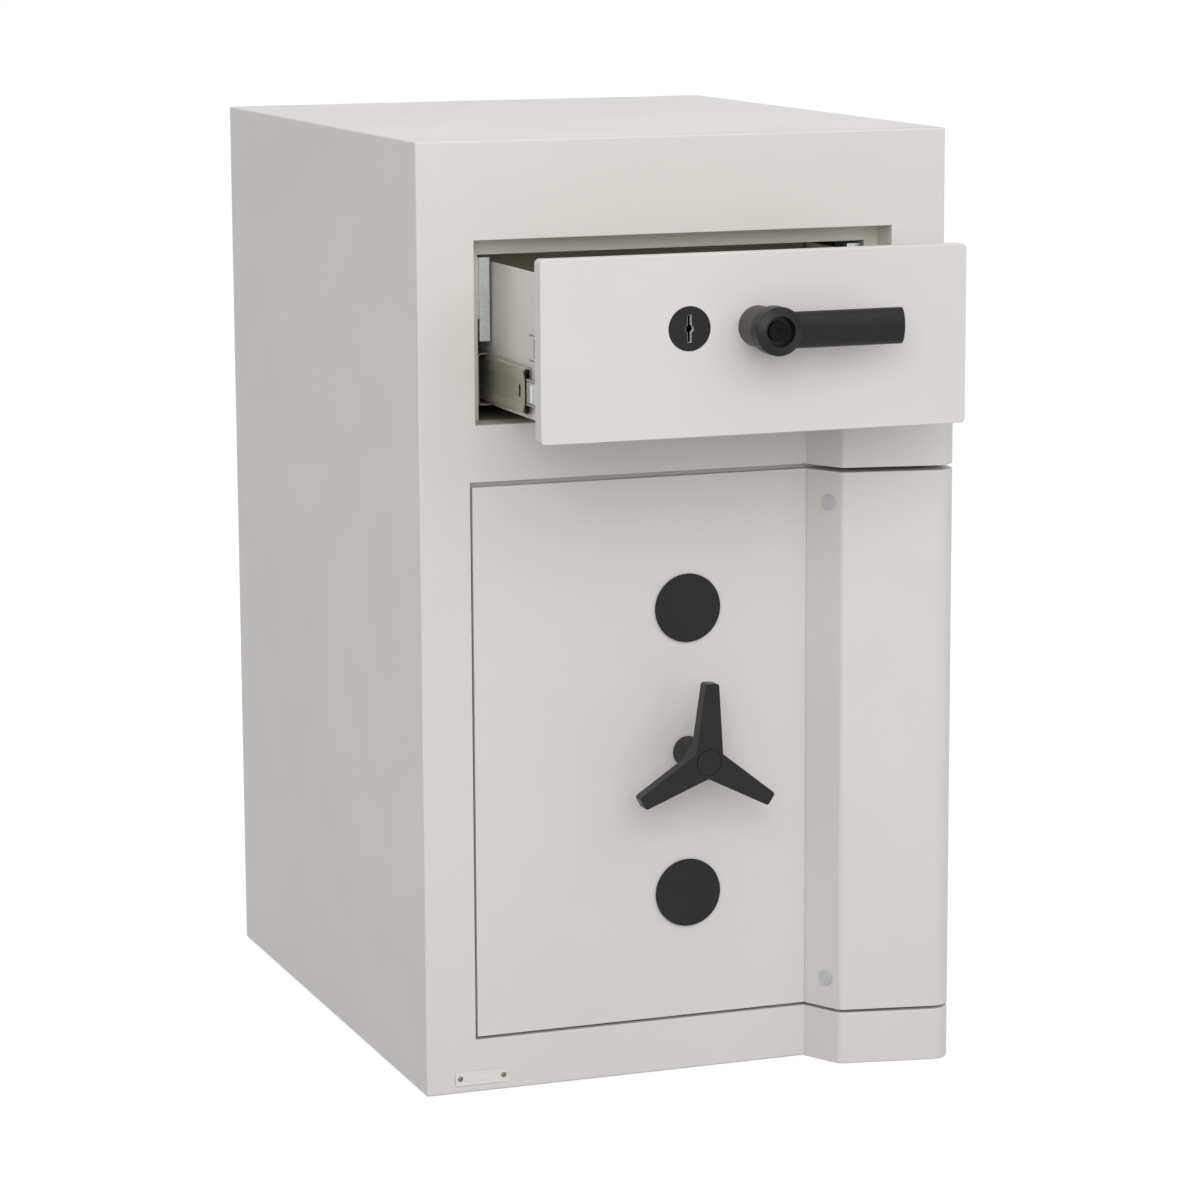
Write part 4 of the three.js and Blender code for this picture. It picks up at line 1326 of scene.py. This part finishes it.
    def guides(self) -> None:
        """Make the guides of the side bolts: a low border that steps up to the face round the slot, the
        border darkened as a painted shadow line round the guide.
        """
        front, rear, level = self.guide_rims
        corner, slot_corner = self.guide_corner
        border, low, slope = self.guide_step
        inset = border * (1 + slope)
        for side in Side:
            node = "bolt_guide_" + side.word
            span = Span.of(node)
            long, tall, thick = span.size.y, span.size.z, span.size.x
            place = facing(Vector((span.inner(side), span.centre.y, span.centre.z)), side.outward)
            step = (border, corner - border, thick * low)
            floor = (border, corner - border, 0.0)
            rim = nested(long, tall, ((0.0, corner, 0.0), (0.0, corner, thick * low), step, floor))
            hole = outline(long - front - rear, tall - 2 * level, slot_corner, 0.0)
            slot = [point + side.outward * (front - rear) / 2 for point in hole]
            face = nested(long, tall, (floor, step, (inset, corner - inset, thick)))
            face += [[point + Vector((0, 0, thick)) for point in slot], slot]
            # The border's dark colour is a painted shadow line round the guide
            Sketch().band(rim, place).piece(node + "_border", GUIDE_SHADOW_LINE, Body.DRAWER)
            Sketch().band(face, place).piece(node + "_plate", GUIDE_PAINT, Body.DRAWER, node)

    def make(self) -> None:
        """Make the panel, the escutcheon and the guides."""
        self.front_panel()
        self.escutcheon()
        self.guides()


@dataclass
class Lever(Assembly):
    """The lever that works the drawer's bolts: collar, hub, grip and screw.

    Attributes:
        chamfer: Width and depth of the slope round the hub's front.
        slope_foot: How far in and forward of its foot the slope starts.
        slope_top: How far out and back of its top the slope ends.
        land: From the slope's top to the flat front.
        recess: Radius and depth of the recess in the hub.
        mouth: How far out and back the recess's edge is eased.
        soft: Radius of the hub's other edges.
        half_grip: Half the height and half the depth of the oval grip.
        setback: From the hub's back to the grip's.
        root: From the recess to where the grip starts inside the hub.
        end_round: Radius round the grip's flat end.
        end_steps: Steps in that radius.
        steps: Points round the hub and the grip.
    """

    chamfer: Point2 = (7.0 * MM, 3.0 * MM)
    slope_foot: Point2 = (0.3 * MM, 0.05 * MM)
    slope_top: Point2 = (0.3 * MM, 0.1 * MM)
    land: float = 0.4 * MM
    recess: Point2 = (13.7 * MM, 10.0 * MM)
    mouth: Point2 = (0.1 * MM, 0.2 * MM)
    soft: float = 0.5 * MM
    half_grip: Point2 = (16.5 * MM, 8.0 * MM)
    setback: float = 0.35 * MM
    root: float = 1.0 * MM
    end_round: float = 1.2 * MM
    end_steps: int = 5
    steps: int = 64
    coats: tuple[Coat, ...] = (
        Coat(COLLAR_BLACK, 0.8 * MM, ("lever_collar",), 3),
        Coat(SOCKET_BLACK, 0.4 * MM, ("lever_screw",)),
        Coat(STEEL, 0.5 * MM, ("lever_spindle",)),
    )

    def hub(self, span: Span, centre: Vector) -> Sketch:
        """Make the round hub with its slope and recess.

        Args:
            span: Box of the lever's node.
            centre: A point on its axis.

        Returns:
            The sketch with the hub.
        """
        radius, depth, soft = centre.x - span.low.x, span.size.y, self.soft
        hole, sunk = self.recess
        foot, top = depth - self.chamfer[1], radius - self.chamfer[0]
        profile = [
            (radius - soft, 0.0),
            (radius, soft),
            (radius, foot - soft),
            (radius - self.slope_foot[0], foot + self.slope_foot[1]),
            (top + self.slope_top[0], depth - self.slope_top[1]),
            (top - self.land, depth),
            (hole + soft, depth),
            (hole + self.mouth[0], depth - self.mouth[1]),
            (hole, depth - soft),
            (hole, depth - sunk + soft),
            (hole - soft, depth - sunk),
        ]
        place = facing(Vector((centre.x, span.high.y, centre.z)), Vector((0, -1, 0)))
        return Sketch().loft([ring(r, z, self.steps) for r, z in profile], place)

    def grip(self, sketch: Sketch, span: Span, centre: Vector) -> Sketch:
        """Make the oval grip, whose end is flat with a small round edge.

        Args:
            sketch: The sketch that takes it.
            span: Box of the lever's node.
            centre: A point on the lever's axis.

        Returns:
            That sketch.
        """
        high, deep = self.half_grip
        middle = span.high.y - self.setback - deep
        rows = [(centre.x + self.recess[0] + self.root, 0.0)]
        for step in range(self.end_steps + 1):
            turn = math.pi / 2 * step / self.end_steps
            end = span.high.x - self.end_round * (1 - math.sin(turn))
            rows.append((end, self.end_round * (1 - math.cos(turn))))
        loops = []
        for x, inset in rows:
            oval = ring(1.0, x, self.steps)
            wide, tall = deep - inset, high - inset
            loops.append([Vector((x, middle + wide * spot.x, centre.z + tall * spot.y)) for spot in oval])
        return sketch.loft(loops)

    def make(self) -> None:
        """Make the lever's body."""
        span, centre = Span.of("lever_handle"), Span.of("lever_collar").centre
        sketch = self.grip(self.hub(span, centre), span, centre)
        sketch.piece("lever_body", LEVER_BLACK, Body.LEVER, "lever_handle")


@dataclass
class SpokeHandle(Assembly):
    """The three-spoke handle on the door, with the groove round its flush cap.

    Attributes:
        edge: Radius of the spokes' edges.
        groove_reach: Radius from the axis inside which the edges stay crisp.
        crisp: Radius of those edges.
        axis: A point on the handle's axis.
    """

    edge: float = 1.1 * MM
    groove_reach: float = 14.0 * MM
    crisp: float = 0.2 * MM
    axis: Vector = field(default_factory=lambda: Span.of("handle_boss").centre)
    coats: tuple[Coat, ...] = (
        Coat(BOSS_BLACK, 0.8 * MM, ("handle_boss",), 3),
        Coat(STEEL, 0.6 * MM, ("handle_spindle",)),
    )

    def beyond_groove(self, edge: Edge) -> bool:
        """Tell whether an edge lies outside the groove."""
        away = midpoint(edge) - self.axis
        return math.hypot(away.x, away.z) > self.groove_reach

    def make(self) -> None:
        """Make the handle."""
        sketch = Sketch.of_node("spoke_handle")
        sketch.round(self.edge, 3, lambda edge: edge.is_convex and self.beyond_groove(edge))
        sketch.round(self.crisp, 2, lambda edge: edge.is_convex and not self.beyond_groove(edge))
        sketch.piece("three_spoke_handle", BLACK_CAST, Body.HANDLE, "spoke_handle")


@dataclass
class Door(Assembly):
    """The vault door: plate, hinge cover, key covers, and the bolt-work on its back.

    Attributes:
        cover_fold: Radius of the hinge cover's folds.
        fold_start: From the cover's foot to the nearest fold.
        cover_end: Radius of the edges at the cover's ends.
        seam: Radius of the cover's foot, which leaves a fine line on the door.
        screw: The screws on the cover at the back.
        screw_inset: From that cover's edges to a screw.
        cover: Box of the hinge cover.
    """

    cover_fold: float = 3.0 * MM
    fold_start: float = 20.0 * MM
    cover_end: float = 0.5 * MM
    seam: float = 0.9 * MM
    screw: Screw = Screw()
    screw_inset: float = 14.0 * MM
    cover: Span = field(default_factory=lambda: Span.of("hinge_cover"))
    coats: tuple[Coat, ...] = (
        Coat(PAINT, 0.8 * MM, ("door_plate",), 3),
        Coat(SEALED_MIX, 0.6 * MM, ("door_barrier",)),
        Coat(INNER_PAINT, 0.7 * MM, ("door_back_plate",)),
        Coat(INNER_PAINT, 1.0 * MM, ("bolt_work_cover",), 3),
        Coat(STEEL, 1.0 * MM, ("dog_bar", "door_lock_case_top", "door_lock_case_bottom")),
        Coat(STEEL, 0.9 * MM, ("bolt_carriage",)),
        Coat(BRASS, 0.6 * MM, ("door_lock_bolt_top", "door_lock_bolt_bottom")),
        Coat(STEEL, 0.8 * MM, ("hinge_arm_top", "hinge_arm_bottom")),
        Coat(PALE_CAP, 0.5 * MM, ("cover_screw_top", "cover_screw_bottom"), 3),
        Coat(BLACK, 0.8 * MM, ("key_cover_top", "key_cover_bottom"), 3),
    )

    def is_fold(self, edge: Edge) -> bool:
        """Tell whether an edge is one of the hinge cover's folds."""
        front = self.cover.high.y - self.fold_start
        return upright(edge) and all(vert.co.y < front for vert in edge.verts)

    def is_foot(self, edge: Edge) -> bool:
        """Tell whether an upright edge of the hinge cover lies on the door."""
        return upright(edge) and on_plane(edge, 1, self.cover.high.y)

    def hinge_cover(self) -> None:
        """Make the folded cover over the hinge arms."""
        sketch = Sketch.of_node("hinge_cover")
        sketch.round(self.cover_fold, 4, self.is_fold).round(self.seam, 2, self.is_foot)
        sketch.round(self.cover_end, 2, lambda edge: not upright(edge))
        sketch.piece("hinge_cover_shell", PAINT, Body.DOOR, "hinge_cover")

    def back_screws(self) -> None:
        """Add the screws on the cover at the back."""
        span = Span.of("bolt_work_cover")
        columns = (span.low.x + self.screw_inset, span.high.x - self.screw_inset)
        rows = (span.low.z + self.screw_inset, span.centre.z, span.high.z - self.screw_inset)
        points = [Vector((x, span.high.y, z)) for x in columns for z in rows]
        self.screw.heads("door_cover_screws", points, Vector((0, 1, 0)), Body.DOOR, STEEL)

    def make(self) -> None:
        """Make the hinge cover and the screws."""
        self.hinge_cover()
        self.back_screws()


@dataclass(frozen=True)
class Lamp:
    """A large square soft lamp.

    Attributes:
        name: Its name.
        at: Where it hangs.
        size: Its side.
        power: Its strength in watts.
    """

    name: str
    at: Point3
    size: float
    power: float

    def hang(self, aim: Vector) -> None:
        """Put the lamp in the scene.

        Args:
            aim: The point that it faces.
        """
        data = bpy.data.lights.new(self.name, "AREA")
        data.size, data.energy = self.size, self.power
        made = bpy.data.objects.new(self.name, data)
        made.location = self.at
        made.rotation_mode = "QUATERNION"
        made.rotation_quaternion = (aim - Vector(self.at)).to_track_quat("-Z", "Y")
        bpy.context.scene.collection.objects.link(made)


@dataclass
class Studio:
    """Plain floor, soft light and the camera.

    Attributes:
        ambient: Strength of the light from all round.
        lamps: A lamp on the right, a wide one on the left and one overhead.
        aim: The point that the lamps face.
        floor_size: Side of the floor.
        floor_drop: How far the floor lies below the object's foot.
        floor_grey: The floor's colour for the light that it throws back.
        floor_seen: Its colour where it is seen, under the glow.
        floor_glow: What is added where it is seen, so that it goes to white away from the shadow.
        camera_at: Where the camera stands.
        azimuth: How far the camera has gone round, in degrees.
        elevation: How far it looks down, in degrees.
        roll: How far it leans, in degrees.
        lens: Focal length on the film below.
        film: Width of the film.
        clip: The nearest and the farthest that the camera sees.
    """

    ambient: float = 0.62
    lamps: tuple[Lamp, ...] = (
        Lamp("key_lamp", (1.6, -3.6, 3.0), 3.4, 31.0),
        Lamp("fill_lamp", (-1.4, -4.2, 2.2), 3.2, 93.0),
        Lamp("top_lamp", (0.2, -0.2, 4.0), 3.0, 13.5),
    )
    aim: Point3 = (0.0, 0.0, 0.5)
    floor_size: float = 60.0
    floor_drop: float = 0.5 * MM
    floor_grey: float = 0.42
    floor_seen: float = 0.5
    floor_glow: float = 0.7
    camera_at: Point3 = (-1.3984, -3.8719, 1.1386)
    azimuth: float = -20.25
    elevation: float = 10.07
    roll: float = -0.28
    lens: float = 122.55
    film: float = 36.0
    clip: Point2 = (0.05, 200.0)

    @staticmethod
    def seen(nodes: NodeTree) -> Socket:
        """Give 1 for rays that show the background, by sight, mirror or glass.

        Args:
            nodes: The tree that is being built.

        Returns:
            The socket with that number.
        """
        rays = nodes.add("LightPath").outputs
        first = nodes.larger(rays["Is Camera Ray"], rays["Is Glossy Ray"])
        return nodes.larger(first, rays["Is Transmission Ray"])

    def world(self) -> None:
        """Light the object evenly from all round, before a white background."""
        world = bpy.data.worlds.new("studio_world")
        world.use_nodes = True
        bpy.context.scene.world = world
        nodes = NodeTree(world.node_tree)
        plain = nodes.add("Background", Color=WHITE, Strength=self.ambient).outputs[0]
        white = nodes.add("Background", Color=WHITE, Strength=1.0).outputs[0]
        nodes.add("OutputWorld", Surface=nodes.choice(self.seen(nodes), plain, white))

    def floor_material(self) -> bpy.types.Material:
        """Make the pale floor's material, which goes to white and keeps the object's shadow.

        Returns:
            The material.
        """
        material = bpy.data.materials.new("pale_floor")
        material.use_nodes = True
        nodes = NodeTree(material.node_tree)
        greys = (self.floor_grey, self.floor_seen)
        pale, shown = (nodes.add("BsdfDiffuse", Color=(grey, grey, grey, 1.0)).outputs[0] for grey in greys)
        glow = nodes.add("Emission", Color=WHITE, Strength=self.floor_glow).outputs[0]
        lit = nodes.feed(nodes.add("AddShader"), 0, shown, glow)
        nodes.add("OutputMaterial", Surface=nodes.choice(self.seen(nodes), pale, lit))
        return material

    def floor(self) -> None:
        """Lay the floor."""
        half = self.floor_size / 2
        mesh = bmesh.new()
        corners = [(-half, -half), (half, -half), (half, half), (-half, half)]
        mesh.faces.new([mesh.verts.new((x, y, -self.floor_drop)) for x, y in corners])
        data = bpy.data.meshes.new("floor")
        mesh.to_mesh(data)
        mesh.free()
        data.materials.append(self.floor_material())
        floor = bpy.data.objects.new("floor", data)
        bpy.context.scene.collection.objects.link(floor)

    def camera(self) -> None:
        """Set up the camera at the photograph's angle."""
        data = bpy.data.cameras.new("camera")
        data.sensor_width, data.lens = self.film, self.lens
        data.clip_start, data.clip_end = self.clip
        made = bpy.data.objects.new("camera", data)
        turn = Matrix.Rotation(math.radians(self.azimuth), 4, "Z")
        turn @= Matrix.Rotation(math.radians(90 - self.elevation), 4, "X")
        turn @= Matrix.Rotation(math.radians(self.roll), 4, "Z")
        made.matrix_world = Matrix.Translation(self.camera_at) @ turn
        bpy.context.scene.collection.objects.link(made)
        bpy.context.scene.camera = made

    def build(self) -> None:
        """Set the whole stage."""
        bpy.context.scene.view_settings.view_transform = "Standard"
        self.camera()
        self.world()
        self.floor()
        for lamp in self.lamps:
            lamp.hang(Vector(self.aim))


def main() -> None:
    """Build the stage and every sub-assembly in turn."""
    logging.basicConfig(level=logging.INFO, format="%(message)s")
    assemblies = [Studio(), Casing(), DrawerBay(), Slides(), Drawer(), Lever(), Door(), SpokeHandle()]
    for assembly in assemblies:
        assembly.build()
        LOG.info("done: %s", type(assembly).__name__)


if __name__ == "__main__":
    main()
